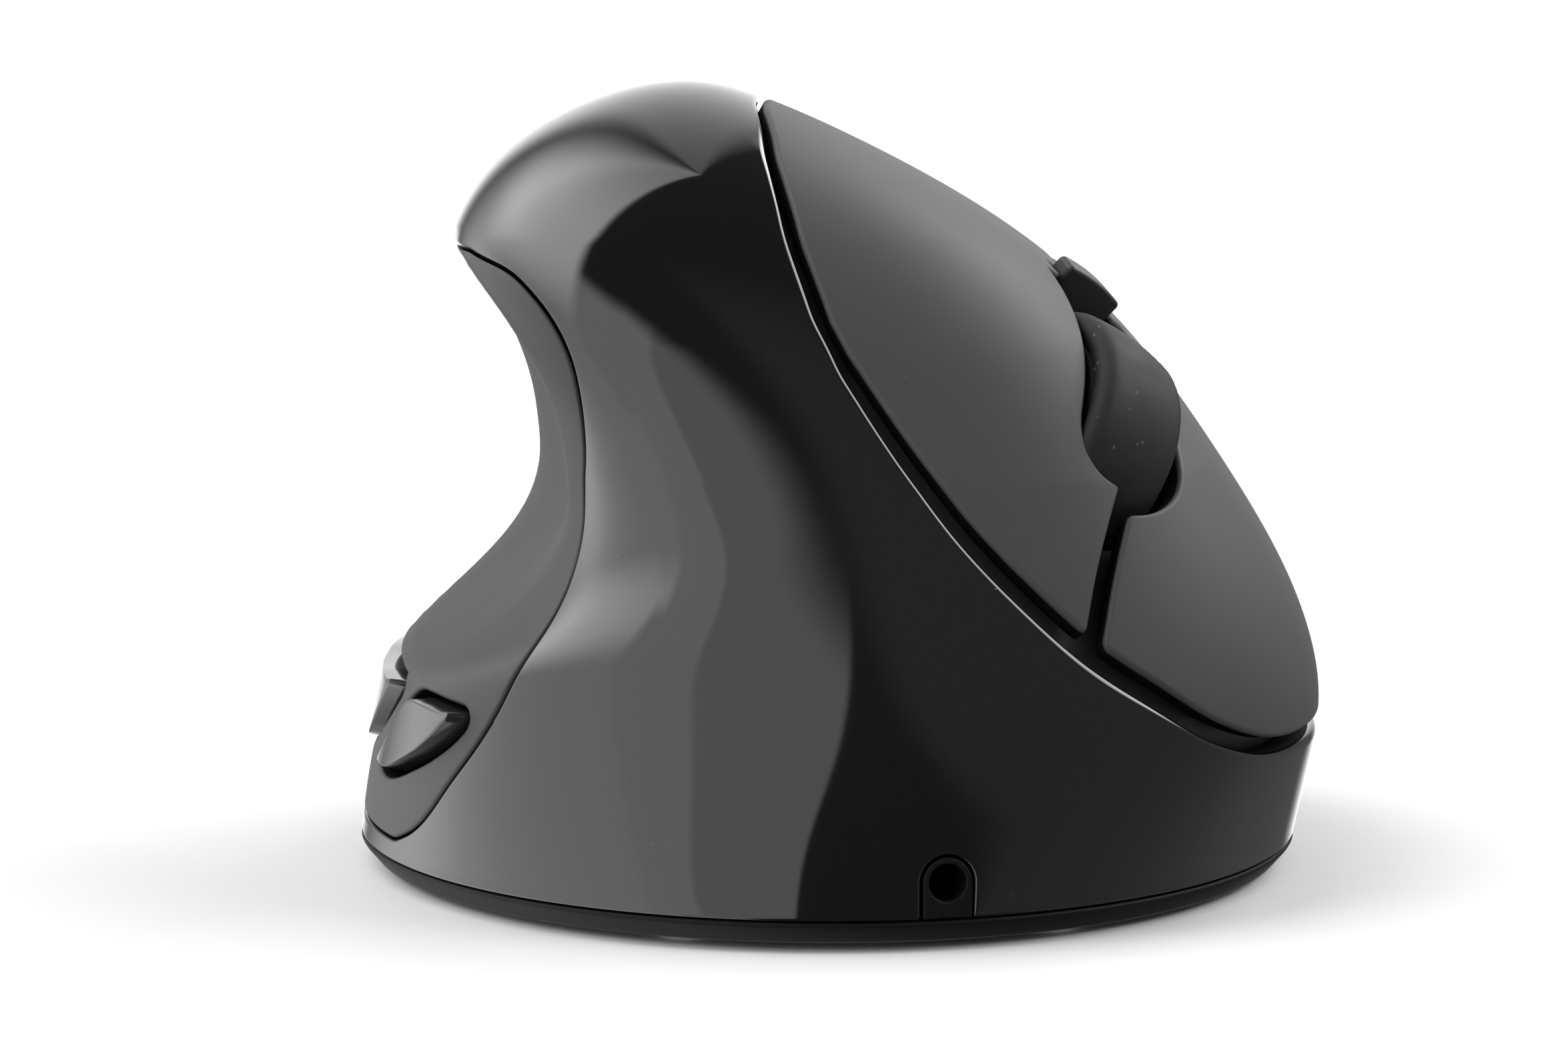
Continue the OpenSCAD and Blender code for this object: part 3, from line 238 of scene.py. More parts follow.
def sheet(surface, rims, seeds, spacing):
    """A moulded sheet: its face lies on a surface inside its rims, each edge rolls over by its rim's
    profile, less where a tip is narrow, and the back repeats the face. Gives points, faces, normals, a 1
    for each face of the walls and the back, and the points' places on the map."""
    points = []
    places = []
    normals = []
    faces = []
    hidden = []
    first_rings = []
    last_rings = []
    plan_rings = []
    count = 0
    for loop, profile in rims:
        n = len(loop)
        up, side, shift = inward(surface, loop)
        rows = np.array(profile, float)
        place = surface(loop)
        gap = place[None] - place[:, None]
        ahead = (gap * side[:, None]).sum(-1)
        room = np.where(ahead > 1e-6, (gap ** 2).sum(-1) / np.maximum(2 * ahead, 1e-9), np.inf).min(1)
        ease = np.minimum(1, 0.7 * room / max(rows[:, 0].max(), 0.01))
        for _ in range(4):
            ease = np.minimum(ease, (np.roll(ease, 1) + 2 * ease + np.roll(ease, -1)) / 4)
        shift = shift * ease[:, None]
        path = np.diff(rows, axis=0)
        path = path / np.linalg.norm(path, axis=1, keepdims=True)
        lean = np.vstack([[-1, 0], path[:-1] + path[1:], path[-1]])
        for k, (inset, depth) in enumerate(rows):
            places.append(loop + shift * inset)
            points.append(surface(places[-1], depth))
            tilt = -up * lean[k, 0] - side * lean[k, 1]
            normals.append(tilt / np.linalg.norm(tilt, axis=1, keepdims=True))
            if k:
                for i in range(n):
                    j = (i + 1) % n
                    a, b = count + (k - 1) * n, count + k * n
                    faces.append([a + i, b + i, b + j, a + j])
                    hidden.append(int(k == len(rows) - 1))
        first_rings.append(np.arange(n) + count)
        last_rings.append(np.arange(n) + count + (len(rows) - 1) * n)
        plan_rings.append(loop + shift * rows[0, 0])
        count += n * len(rows)
    depth = rims[0][1][-1][1]
    edge = np.vstack(plan_rings)
    near = kdtree.KDTree(len(edge))
    for i, p in enumerate(surface(edge)):
        near.insert(p, i)
    near.balance()
    clear = [near.find(p)[2] > 0.6 * spacing for p in surface(seeds)]
    seeds = seeds[np.array(clear)]
    sides = []
    start = 0
    for ring in plan_rings:
        n = len(ring)
        sides += [(start + i, start + (i + 1) % n) for i in range(n)]
        start += n
    flat = [Vector(p) for p in np.vstack([edge, seeds])]
    _, _, cells, origin, _, _ = delaunay_2d_cdt(flat, sides, [], 0, 1e-8)
    cells = [tuple(origin[i][0] for i in f) for f in cells]
    cells = inside_fence(cells, sides)
    used = sorted({i for f in cells for i in f if i >= len(edge)})
    face_at = dict(zip(range(len(edge)), np.concatenate(first_rings)))
    back_at = dict(zip(range(len(edge)), np.concatenate(last_rings)))
    face_at.update({s: count + i for i, s in enumerate(used)})
    back_at.update({s: count + len(used) + i for i, s in enumerate(used)})
    inner = seeds[np.array(used, int) - len(edge)]
    up = slopes(surface, inner)[2]
    places += [inner, inner]
    points += [surface(inner), surface(inner, depth)]
    normals += [up, -up]
    for f in cells:
        faces.append([int(face_at[i]) for i in f])
        faces.append([int(back_at[i]) for i in reversed(f)])
        hidden += [0, 1]
    return np.vstack(points), faces, np.vstack(normals), hidden, np.vstack(places)


def plan_seeds(spacing, station_low=0.0, station_high=crown - 0.05, turn_from=0, turn_to=360):
    """Places about a spacing apart over the body's map, between two stations and two turns."""
    station_length = 8.5
    seeds = []
    for k, station in enumerate(np.arange(station_low, station_high, spacing / station_length)):
        row = skin_at(np.array([0.0, 90, 180, 270]), np.full(4, station), np.zeros(4))
        around = math.pi * (np.linalg.norm(row[0] - row[2]) + np.linalg.norm(row[1] - row[3])) / 2
        n = max(6, round(around / spacing))
        turns = (np.arange(n) + 0.5 * (k % 2)) * 360 / n
        turns = turns + 360 * np.ceil((turn_from - turns) / 360)
        seeds.append(on_plan(turns[turns <= turn_to], station))
    return np.vstack(seeds)


class Wire:
    """One output of a material's nodes. Sums and products of wires add Math nodes."""

    def __init__(self, tree, socket=None):
        self.tree = tree
        self.socket = socket

    def node(self, kind, settings, sockets, out=0):
        made = self.tree.nodes.new(kind)
        for key, value in settings.items():
            setattr(made, key, value)
        for key, value in sockets.items():
            if isinstance(value, Wire):
                self.tree.links.new(value.socket, made.inputs[key])
            else:
                made.inputs[key].default_value = value
        return Wire(self.tree, made.outputs[out])

    def maths(self, operation, a, b):
        return self.node("ShaderNodeMath", {"operation": operation}, {0: a, 1: b})

    def __add__(self, other):
        return self.maths("ADD", self, other)

    def __sub__(self, other):
        return self.maths("SUBTRACT", self, other)

    def __rsub__(self, other):
        return self.maths("SUBTRACT", other, self)

    def __mul__(self, other):
        return self.maths("MULTIPLY", self, other)

    __radd__ = __add__
    __rmul__ = __mul__


def new_finish(name):
    """An empty material, a wire to build its nodes from, its shader and its object coordinates."""
    material = bpy.data.materials.new(name)
    material.use_nodes = True
    tree = material.node_tree
    shader = tree.nodes["Principled BSDF"]
    wire = Wire(tree)
    place = wire.node("ShaderNodeTexCoord", {}, {}, "Object")
    return material, wire, shader, place


def feed(shader, **wires):
    """Links wires, or sets plain values, on a shader's sockets named with underscores."""
    for key, value in wires.items():
        socket = shader.inputs[key.replace("_", " ")]
        if isinstance(value, Wire):
            value.tree.links.new(value.socket, socket)
        else:
            socket.default_value = value


def grained_plastic(name, dark, light, rough, grain_mm, grain_height, shine=0.5):
    """Moulded plastic with a spark-eroded grain, a little dust and uneven sheen."""
    material, wire, shader, place = new_finish(name)
    grain = wire.node("ShaderNodeTexNoise", {},
                      {"Vector": place, "Scale": 1 / (grain_mm * MM), "Detail": 3.0})
    cloud = wire.node("ShaderNodeTexNoise", {}, {"Vector": place, "Scale": 60.0, "Detail": 2.0})
    tone = wire.node("ShaderNodeMix", {"data_type": "RGBA"},
                     {"Factor": grain * 0.6 + cloud * 0.4, "A": (*dark, 1), "B": (*light, 1)}, "Result")
    bump = wire.node("ShaderNodeBump", {}, {"Height": grain, "Strength": 0.35, "Distance": grain_height * MM})
    feed(shader, Base_Color=tone, Roughness=cloud * 0.12 + (rough - 0.06), Normal=bump,
         Specular_IOR_Level=shine)
    return material


base_matte = grained_plastic("base_matte", (0.002, 0.002, 0.0021), (0.005, 0.005, 0.0052), 0.55, 0.35, 0.03,
                             0.09)
base_floor_z = foot_h
base_back = base_h - foot_h - 0.05
base_profile = [(base_taper + 0.5, 0), (base_taper + 0.2, 0.04), (base_taper, 0.2), (0.12, base_back - 0.5),
                (0.0, base_back - 0.3), (0.1, base_back - 0.08), (0.5, base_back)]
hole_profile = rolled_edge(0.2, base_back, 3)
outline_turns = np.arange(0, 360, 0.5)


def underside(plan, inset=0.0):
    """The flat underside, mapped as seen from below."""
    z = base_floor_z + np.broadcast_to(inset, plan.shape[:-1])
    return np.stack([plan[..., 0], -plan[..., 1], z], axis=-1)


def below(points):
    """Places in plan view as the underside's map, running the other way round."""
    return (np.asarray(points, float) * [1, -1])[::-1]


def ring(centre, radius, count=48):
    """Points of a circle in plan view."""
    a = np.arange(count) * 2 * math.pi / count
    return np.stack([centre[0] + radius * np.cos(a), centre[1] + radius * np.sin(a)], axis=1)


def stadium(low, high, grow=0.0):
    """Round-ended slot that fills a box from its low to its high corner."""
    low = np.array(low) - grow
    high = np.array(high) + grow
    r = min(high - low) / 2
    ends = (low + r, high - r)
    long_way = int((high - low)[1] > (high - low)[0])
    a = np.radians(np.arange(-90, 91, 10) + 90 * long_way)
    arc = np.stack([np.cos(a), np.sin(a)], axis=1) * r
    return np.vstack([ends[1] + arc, ends[0] - arc])


def plan_box(node):
    """Low and high corner of a CAD piece in plan view."""
    low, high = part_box(node)
    return np.array(low)[:2] / MM, np.array(high)[:2] / MM


screw_nodes = ["case_screw_1", "case_screw_2", "case_screw_3", "case_screw_4"]
foot_nodes = ["foot_front", "foot_back", "foot_side"]
screw_hole_r = 2.2
lens_hole_r = 3.5
slider_slot = ((12.6, -7.2), (17.4, -4.8))
at_seam = np.zeros(len(outline_turns))
base_outline = skin_at(outline_turns, at_seam, at_seam)[:, :2]
base_holes = [ring(np.mean(plan_box(n), axis=0), screw_hole_r) for n in screw_nodes]
base_holes.append(ring(np.mean(plan_box("sensor_chip"), axis=0), lens_hole_r))
base_holes.append(stadium(*slider_slot))
base_holes += [stadium(*plan_box(n), 0.1) for n in foot_nodes]
base_rims = [(even_loop(below(base_outline), 0.5, 0, underside), base_profile)]
base_rims += [(even_loop(below(hole)[::-1], 0.4, 0, underside), hole_profile) for hole in base_holes]
grid = np.arange(-48, 48, 2.0)
base_seeds = np.stack(np.meshgrid(grid, grid), axis=-1).reshape(-1, 2)
base_sheet = sheet(underside, base_rims, base_seeds, 2.0)
put("base_tray", base_sheet, "housing", "base_matte", base_matte, "base_plate")

# Glide feet: three low-friction pads with round ends, cut from sheet and glued into shallow beds in
# the underside. The mouse stands on them alone.
foot_top = 1.1
foot_roll = 0.3
glide = grained_plastic("glide", (0.02, 0.02, 0.021), (0.035, 0.035, 0.036), 0.35, 0.6, 0.01)


def desk_face(plan, inset=0.0):
    """The plane of the desk, mapped as seen from below."""
    return underside(plan, np.asarray(inset) - base_floor_z)


for foot in foot_nodes:
    low, high = plan_box(foot)
    pad_rim = even_loop(below(stadium(low, high)), 0.4, 0, desk_face)
    pad_grid = np.meshgrid(np.arange(low[0], high[0], 1.0), np.arange(-high[1], -low[1], 1.0))
    pad_seeds = np.stack(pad_grid, axis=-1).reshape(-1, 2)
    pad = sheet(desk_face, [(pad_rim, rolled_edge(foot_roll, foot_top))], pad_seeds, 1.0)
    put(foot + "_pad", pad, "housing", "glide", glide, foot)

# Case screws: four cross-head steel screws, driven up through the base plate into posts of the shell.
# Their heads lie in round wells in the underside.
screw_sizes = {"Head radius": 2.0, "Head rim": 1.7, "Head height": 1.2, "Shank radius": 1.05,
               "Shank length": 5.7, "Cross length": 2.4, "Cross width": 0.5, "Cross depth": 0.8}
screw_low = foot_h + 0.1


def worn_steel(name, tone, rough):
    """Bright steel with fine turning marks and a few dull smears."""
    material, wire, shader, place = new_finish(name)
    marks = wire.node("ShaderNodeTexNoise", {}, {"Vector": place, "Scale": 3000.0, "Detail": 2.0})
    smear = wire.node("ShaderNodeTexNoise", {}, {"Vector": place, "Scale": 260.0, "Detail": 3.0})
    dull = (tone * 0.7, tone * 0.7, tone * 0.72, 1)
    shade = wire.node("ShaderNodeMix", {"data_type": "RGBA"},
                      {"Factor": smear, "A": dull, "B": (tone, tone, tone, 1)}, "Result")
    feed(shader, Base_Color=shade, Roughness=marks * 0.1 + smear * 0.14 + (rough - 0.12), Metallic=1.0)
    return material


steel = worn_steel("steel", 0.62, 0.3)
screw_tree = bpy.data.node_groups.new("case_screw_set", "GeometryNodeTree")
screw_tree.interface.new_socket("Places", in_out="INPUT", socket_type="NodeSocketGeometry")
for size_name in screw_sizes:
    screw_tree.interface.new_socket(size_name, in_out="INPUT", socket_type="NodeSocketFloat")
screw_tree.interface.new_socket("Screws", in_out="OUTPUT", socket_type="NodeSocketGeometry")
bench = Wire(screw_tree)
given = {name: bench.node("NodeGroupInput", {}, {}, name) for name in ["Places", *screw_sizes]}
head = bench.node("GeometryNodeMeshCone", {}, {"Vertices": 40, "Radius Bottom": given["Head rim"],
                  "Radius Top": given["Head radius"], "Depth": given["Head height"]}, "Mesh")
for along, across, deep in (("Cross length", "Cross width", 2), ("Cross width", "Cross length", 1.8)):
    bar_size = bench.node("ShaderNodeCombineXYZ", {},
                          {"X": given[along], "Y": given[across], "Z": given["Cross depth"] * deep}, "Vector")
    bar = bench.node("GeometryNodeMeshCube", {}, {"Size": bar_size}, "Mesh")
    head = bench.node("GeometryNodeMeshBoolean", {"operation": "DIFFERENCE"},
                      {"Mesh 1": head, "Mesh 2": bar}, "Mesh")
shank = bench.node("GeometryNodeMeshCylinder", {},
                   {"Vertices": 32, "Radius": given["Shank radius"], "Depth": given["Shank length"]}, "Mesh")
shank_mid = given["Shank length"] * 0.5 + given["Head height"] * 0.9
shank_at = bench.node("ShaderNodeCombineXYZ", {}, {"Z": shank_mid}, "Vector")
shank = bench.node("GeometryNodeTransform", {}, {"Geometry": shank, "Translation": shank_at}, "Geometry")
screw = bench.node("GeometryNodeJoinGeometry", {}, {"Geometry": head}, "Geometry")
screw_tree.links.new(shank.socket, screw.socket.node.inputs["Geometry"])
spread_out = bench.node("GeometryNodeInstanceOnPoints", {},
                        {"Points": given["Places"], "Instance": screw}, "Instances")
real = bench.node("GeometryNodeRealizeInstances", {}, {"Geometry": spread_out}, "Geometry")
real = bench.node("GeometryNodeSetMaterial", {}, {"Geometry": real, "Material": steel}, "Geometry")
screw_tree.links.new(real.socket, screw_tree.nodes.new("NodeGroupOutput").inputs["Screws"])
screw_places = bpy.data.meshes.new("case_screws")
screw_places.from_pydata([(*np.mean(plan_box(n), axis=0) * MM, screw_low * MM) for n in screw_nodes], [], [])
screws = bpy.data.objects.new("case_screws", screw_places)
bpy.context.scene.collection.objects.link(screws)
set_of_screws = screws.modifiers.new("screws", "NODES")
set_of_screws.node_group = screw_tree
for item in screw_tree.interface.items_tree:
    if item.name in screw_sizes:
        set_of_screws[item.identifier] = screw_sizes[item.name] * MM
made = screws.evaluated_get(bpy.context.evaluated_depsgraph_get())
screw_mesh = bpy.data.meshes.new_from_object(made)
screws.modifiers.remove(set_of_screws)
screws.data = screw_mesh
screw_mesh.shade_smooth()
screw_mesh.set_sharp_from_angle(angle=math.radians(35))
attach(screws, "housing")
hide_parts(*screw_nodes)

# Boards and what is soldered to them: glass-fibre boards with a green mask and copper tracks, black
# switch and chip cases, white plungers, a red light, a clear lens and a foil-wrapped cell in its tray.


def dress(finish, *names):
    """Gives its finish to each CAD piece that keeps its shape."""
    for name in names:
        nodes[name].data.materials.clear()
        nodes[name].data.materials.append(finish)


def solder_mask(name):
    """Green board: tracks a little lighter than the mask, and tinned pads."""
    material, wire, shader, place = new_finish(name)
    bend = wire.node("ShaderNodeTexNoise", {}, {"Vector": place, "Scale": 140.0, "Detail": 1.0})
    tracks = wire.node("ShaderNodeTexWave", {"bands_direction": "DIAGONAL"},
                       {"Vector": place, "Scale": 260.0, "Distortion": 6.0, "Detail": 0.0})
    track = wire.maths("GREATER_THAN", tracks * 0.7 + bend * 0.3, 0.62)
    dots = wire.node("ShaderNodeTexVoronoi", {}, {"Vector": place, "Scale": 330.0}, "Distance")
    pad_mask = wire.maths("LESS_THAN", dots, 0.16)
    green = wire.node("ShaderNodeMix", {"data_type": "RGBA"},
                      {"Factor": track, "A": (0.006, 0.045, 0.02, 1), "B": (0.012, 0.085, 0.035, 1)},
                      "Result")
    tone = wire.node("ShaderNodeMix", {"data_type": "RGBA"},
                     {"Factor": pad_mask, "A": green, "B": (0.55, 0.53, 0.48, 1)}, "Result")
    feed(shader, Base_Color=tone, Metallic=pad_mask, Roughness=bend * 0.1 + 0.28)
    return material


board = solder_mask("board")
case_black = grained_plastic("case_black", (0.008, 0.008, 0.009), (0.016, 0.016, 0.017), 0.42, 0.2, 0.01)
stem_white = grained_plastic("stem_white", (0.6, 0.58, 0.52), (0.72, 0.7, 0.64), 0.4, 0.3, 0.01)
cell_wrap = worn_steel("cell_wrap", 0.7, 0.42)
led_red = grained_plastic("led_red", (0.4, 0.01, 0.01), (0.5, 0.02, 0.02), 0.15, 0.8, 0.005)
led_red.node_tree.nodes["Principled BSDF"].inputs["Transmission Weight"].default_value = 0.6
clear_lens = grained_plastic("clear_lens", (0.86, 0.9, 0.92), (0.9, 0.93, 0.95), 0.08, 0.9, 0.003)
clear_lens.node_tree.nodes["Principled BSDF"].inputs["Transmission Weight"].default_value = 0.95
dress(board, "main_pcb", "finger_pcb", "thumb_pcb")
dress(case_black, "sensor_chip", "radio_chip", "power_switch", "power_slider", "charge_jack", "wheel_encoder",
      "index_switch", "middle_switch", "wheel_switch", "dpi_switch", "forward_switch", "back_switch")
dress(stem_white, "index_stem", "middle_stem", "wheel_stem", "dpi_stem", "forward_stem", "back_stem")
dress(steel, "pcb_screw_1", "pcb_screw_2", "pcb_screw_3")
dress(cell_wrap, "battery")
dress(base_matte, "battery_tray")
dress(led_red, "sensor_led")
dress(clear_lens, "sensor_lens")

# Main shell: one glossy black moulding over the whole body, open below and cut out for the thumb
# panel, for the finger plates and for the inlet collar. It stands on the base plate's edge.
wall = 2.8
seam = 0.2
shell_spacing = 0.8
seam_roll = 0.3
rim_roll = 0.8
# Edge of the finger plates' window: turn, lower and upper station; the back half mirrors it
plate_edge = [[277, 4.85, 5.3], [278.5, 4.45, 5.65], [280.5, 4.05, 6], [283.5, 3.6, 6.3], [288, 3.15, 6.65],
              [294, 2.7, 7], [302, 2.3, 7.3], [312, 1.88, 7.58], [324, 1.6, 7.8], [340, 1.53, 7.93],
              [360, 1.53, 7.97]]
# Front seam of the thumb panel: station and turn; the back seam mirrors it
thumb_edge = [[0.28, 206], [0.5, 211], [0.8, 215], [1.3, 219.5], [1.85, 224.7], [2.35, 229], [2.85, 232.2],
              [3.4, 233], [3.8, 235], [4.2, 238.5], [4.6, 240.8], [4.95, 241], [5.25, 238.5], [5.5, 234],
              [5.7, 227], [5.84, 212]]
thumb_mirror = 364
inlet_turn = 283.0
inlet_z = 5.6
collar_w = 4.1
collar_top = 7.65


def curve(table, x, column=1):
    """Smooth curve through the rows of a table, read at x in one column."""
    rows = np.array(table, float)
    at, y = rows[:, 0], rows[:, column]
    i = np.clip(np.searchsorted(at, x, side="right") - 1, 0, len(rows) - 2)
    before = np.maximum(np.arange(len(rows)) - 1, 0)
    after = np.minimum(np.arange(len(rows)) + 1, len(rows) - 1)
    slope = (y[after] - y[before]) / (at[after] - at[before])
    h = at[i + 1] - at[i]
    u = (x - at[i]) / h
    return ((2 * u ** 3 - 3 * u ** 2 + 1) * y[i] + (u ** 3 - 2 * u ** 2 + u) * h * slope[i]
            + (3 * u ** 2 - 2 * u ** 3) * y[i + 1] + (u ** 3 - u ** 2) * h * slope[i + 1])


def band_loop(turns, low, top):
    """Outline on the map between two curves of station over turn."""
    return np.vstack([on_plan(turns, low), on_plan(turns, top)[::-1]])


def seek(measure, targets, start):
    """Places on the map where two measures of the skin take given values, by Newton steps."""
    h = 0.01
    plan = np.tile(np.asarray(start, float), (len(targets), 1))
    for _ in range(20):
        miss = targets - measure(skin(plan))
        ju = (measure(skin(plan + [h, 0])) - measure(skin(plan - [h, 0]))) / (2 * h)
        jv = (measure(skin(plan + [0, h])) - measure(skin(plan - [0, h]))) / (2 * h)
        det = ju[:, 0] * jv[:, 1] - ju[:, 1] * jv[:, 0]
        step_u = miss[:, 0] * jv[:, 1] - miss[:, 1] * jv[:, 0]
        step_v = ju[:, 0] * miss[:, 1] - ju[:, 1] * miss[:, 0]
        step = np.stack([step_u, step_v], axis=1) / det[:, None]
        plan = plan + np.clip(step, -0.5, 0.5)
    return plan


inlet_foot = skin_at(np.array([inlet_turn]), np.zeros(1), np.zeros(1))[0]
inlet_out = (skin_at(np.array([inlet_turn]), np.zeros(1), -np.ones(1))[0] - inlet_foot) * [1, 1, 0]
inlet_side = np.array([-inlet_out[1], inlet_out[0], 0])


def beside_inlet(points):
    """How far beside the inlet's middle a point lies, and its height."""
    return np.stack([(points - inlet_foot) @ inlet_side, points[..., 2]], axis=-1)


def collar_outline(grow, foot_z):
    """Outline of the collar's tab, from its foot up over its round top, grown all round."""
    r = collar_w / 2 + grow
    a = np.radians(np.arange(0, 181, 6))
    arch = np.stack([r * np.cos(a), collar_top - collar_w / 2 + r * np.sin(a)], axis=1)
    return seek(beside_inlet, np.vstack([[[r, foot_z]], arch, [[-r, foot_z]]]), on_plan(inlet_turn, 0.3))


thumb_stations = np.linspace(thumb_edge[0][0], thumb_edge[-1][0], 160)
thumb_front = curve(thumb_edge, thumb_stations)
thumb_window = np.vstack([
    on_plan(thumb_front, thumb_stations),
    on_plan(np.linspace(thumb_edge[-1][1], thumb_mirror - thumb_edge[-1][1], 40), thumb_edge[-1][0]),
    on_plan(thumb_mirror - thumb_front, thumb_stations)[::-1],
    on_plan(np.linspace(thumb_mirror - thumb_edge[0][1], thumb_edge[0][1], 40), thumb_edge[0][0])])
thumb_window = even_loop(thumb_window, 0.5, 0.7, skin)
window_turns = np.linspace(plate_edge[0][0], 720 - plate_edge[0][0], 400)
window_mirror = np.where(window_turns > 360, 720 - window_turns, window_turns)
plate_window = band_loop(window_turns, curve(plate_edge, window_mirror, 1),
                         curve(plate_edge, window_mirror, 2))
plate_window = even_loop(plate_window, 0.5, 0.7, skin)
shell_foot = trimmed(on_plan(outline_turns, 0), collar_outline(seam, base_h - 1.5))[0]
shell_rims = [(even_loop(shell_foot, 0.5, 0.2, skin), rolled_edge(seam_roll, wall)),
              (thumb_window[::-1], rolled_edge(seam_roll, wall)),
              (plate_window[::-1], rolled_edge(rim_roll, wall, 7))]


def gloss_plastic(name, shade, rough):
    """Polished black plastic with a trace of flow in the surface and a few specks of dust."""
    material, wire, shader, place = new_finish(name)
    flow = wire.node("ShaderNodeTexNoise", {}, {"Vector": place, "Scale": 90.0, "Detail": 1.0})
    cell = wire.node("ShaderNodeTexVoronoi", {},
                     {"Vector": place, "Scale": 420.0, "Randomness": 1.0}, "Distance")
    chance = Wire(wire.tree, cell.socket.node.outputs["Color"])
    speck = wire.maths("LESS_THAN", cell, 0.03) * wire.maths("GREATER_THAN", chance, 0.72)
    tone = wire.node("ShaderNodeMix", {"data_type": "RGBA"},
                     {"Factor": speck, "A": (shade, shade, shade * 1.05, 1), "B": (0.05, 0.05, 0.05, 1)},
                     "Result")
    bump = wire.node("ShaderNodeBump", {}, {"Height": flow, "Strength": 0.3, "Distance": 0.02 * MM})
    feed(shader, Base_Color=tone, Roughness=flow * 0.03 + speck * 0.4 + (rough - 0.015), Normal=bump)
    return material


shell_gloss = gloss_plastic("shell_gloss", 0.002, 0.05)
shell = sheet(skin, shell_rims, plan_seeds(shell_spacing), shell_spacing)
put("shell", shell, "housing", "shell_gloss", shell_gloss, "main_shell", inside=base_matte)

# Inlet collar: a matte tab of the base that rises into a notch in the shell, bored for the round pin
# of a charging lead. The black jack behind it is soldered to the main board.
inlet_d = 3.1
collar_deep = 4
collar_roll = 0.18
collar_rim = even_loop(collar_outline(0, base_h + 0.02), 0.3, 0.15, skin)
collar_hole = seek(beside_inlet, ring((0, inlet_z), inlet_d / 2), on_plan(inlet_turn, 0.5))
collar_rims = [(collar_rim, rolled_edge(collar_roll, collar_deep)),
               (collar_hole[::-1], rolled_edge(collar_roll, collar_deep))]
collar_grid = np.meshgrid(np.arange(-2, 2.1, 0.4), np.arange(2.8, 7.6, 0.4))
collar_seeds = seek(beside_inlet, np.stack(collar_grid, axis=-1).reshape(-1, 2), on_plan(inlet_turn, 0.5))
inlet_tab = sheet(skin, collar_rims, collar_seeds, 0.4)
put("inlet_tab", inlet_tab, "housing", "base_matte", base_matte, "inlet_collar")

# Thumb panel: the soft-touch side with the deep hollow for the thumb, clipped into its window from
# inside the shell, with two openings for the thumb buttons.
panel_t = 1.8
panel_roll = 0.35
panel_spacing = 0.8
thumb_gap = 0.5
# Outlines of the thumb buttons: turn, lower and upper station
forward_edge = [[196, 1.14, 1.28], [199, 1.1, 1.52], [202, 1.12, 1.74], [205.5, 1.21, 1.96],
                [209, 1.34, 2.12], [213, 1.5, 2.13], [217, 1.7, 2.11], [219.5, 1.85, 2.1], [221.5, 2, 2.09]]
back_edge = [[156, 1.56, 1.78], [160, 1.45, 2.02], [166, 1.36, 2.16], [174, 1.28, 2.2], [182, 1.2, 2.2],
             [186, 1.22, 2.2], [190, 1.4, 2.2], [194, 1.62, 2.2], [198, 1.85, 2.19], [202, 2.1, 2.18]]


def cap_loop(edge):
    """Outline of a thumb button."""
    turns = np.linspace(edge[0][0], edge[-1][0], 120)
    return even_loop(band_loop(turns, curve(edge, turns, 1), curve(edge, turns, 2)), 0.25, 0.4, skin)


def inset_loop(loop, distance):
    """An outline on the skin, moved into its sheet by a distance."""
    return loop + inward(skin, loop)[2] * distance


def soft_touch_paint(name, dark, light, rough):
    """Rubbery paint over plastic: an even, very fine grain that scatters the light, with painted shade
    darkening it where the painted_hollow_shade attribute is set.
    """
    material, wire, shader, place = new_finish(name)
    grain = wire.node("ShaderNodeTexNoise", {}, {"Vector": place, "Scale": 5200.0, "Detail": 2.0})
    cloud = wire.node("ShaderNodeTexNoise", {}, {"Vector": place, "Scale": 70.0, "Detail": 3.0})
    cell = wire.node("ShaderNodeTexVoronoi", {},
                     {"Vector": place, "Scale": 360.0, "Randomness": 1.0}, "Distance")
    chance = Wire(wire.tree, cell.socket.node.outputs["Color"])
    speck = wire.maths("LESS_THAN", cell, 0.028) * wire.maths("GREATER_THAN", chance, 0.72)
    paint = wire.node("ShaderNodeMix", {"data_type": "RGBA"},
                      {"Factor": grain * 0.7 + cloud * 0.3, "A": (*dark, 1), "B": (*light, 1)}, "Result")
    # Painted shade: this attribute mixes the paint towards near black inside the thumb's hollow.
    painted_hollow_shade = wire.node("ShaderNodeAttribute", {"attribute_name": "painted_hollow_shade"}, {}, "Fac")
    paint = wire.node("ShaderNodeMix", {"data_type": "RGBA"},
                      {"Factor": painted_hollow_shade * 0.6, "A": paint, "B": (0.004, 0.004, 0.004, 1)}, "Result")
    tone = wire.node("ShaderNodeMix", {"data_type": "RGBA"},
                     {"Factor": speck, "A": paint, "B": (0.1, 0.1, 0.1, 1)}, "Result")
    bump = wire.node("ShaderNodeBump", {}, {"Height": grain, "Strength": 0.25, "Distance": 0.02 * MM})
    feed(shader, Base_Color=tone, Roughness=cloud * 0.1 + grain * 0.1 + (rough - 0.1), Normal=bump,
         Specular_IOR_Level=0.3)
    return material


soft_touch = soft_touch_paint("soft_touch", (0.024, 0.024, 0.0245), (0.038, 0.038, 0.0385), 0.6)
cap_loops = {"forward": cap_loop(forward_edge), "back": cap_loop(back_edge)}
panel_profile = rolled_edge(panel_roll, panel_t)
panel_rims = [(inset_loop(thumb_window, seam), panel_profile)]
panel_rims += [(inset_loop(loop, -thumb_gap)[::-1], panel_profile) for loop in cap_loops.values()]
thumb_side = sheet(skin, panel_rims, plan_seeds(panel_spacing), panel_spacing)
thumb_panel = put("thumb_side", thumb_side, "housing", "soft_touch", soft_touch, "thumb_panel",
                  inside=base_matte)
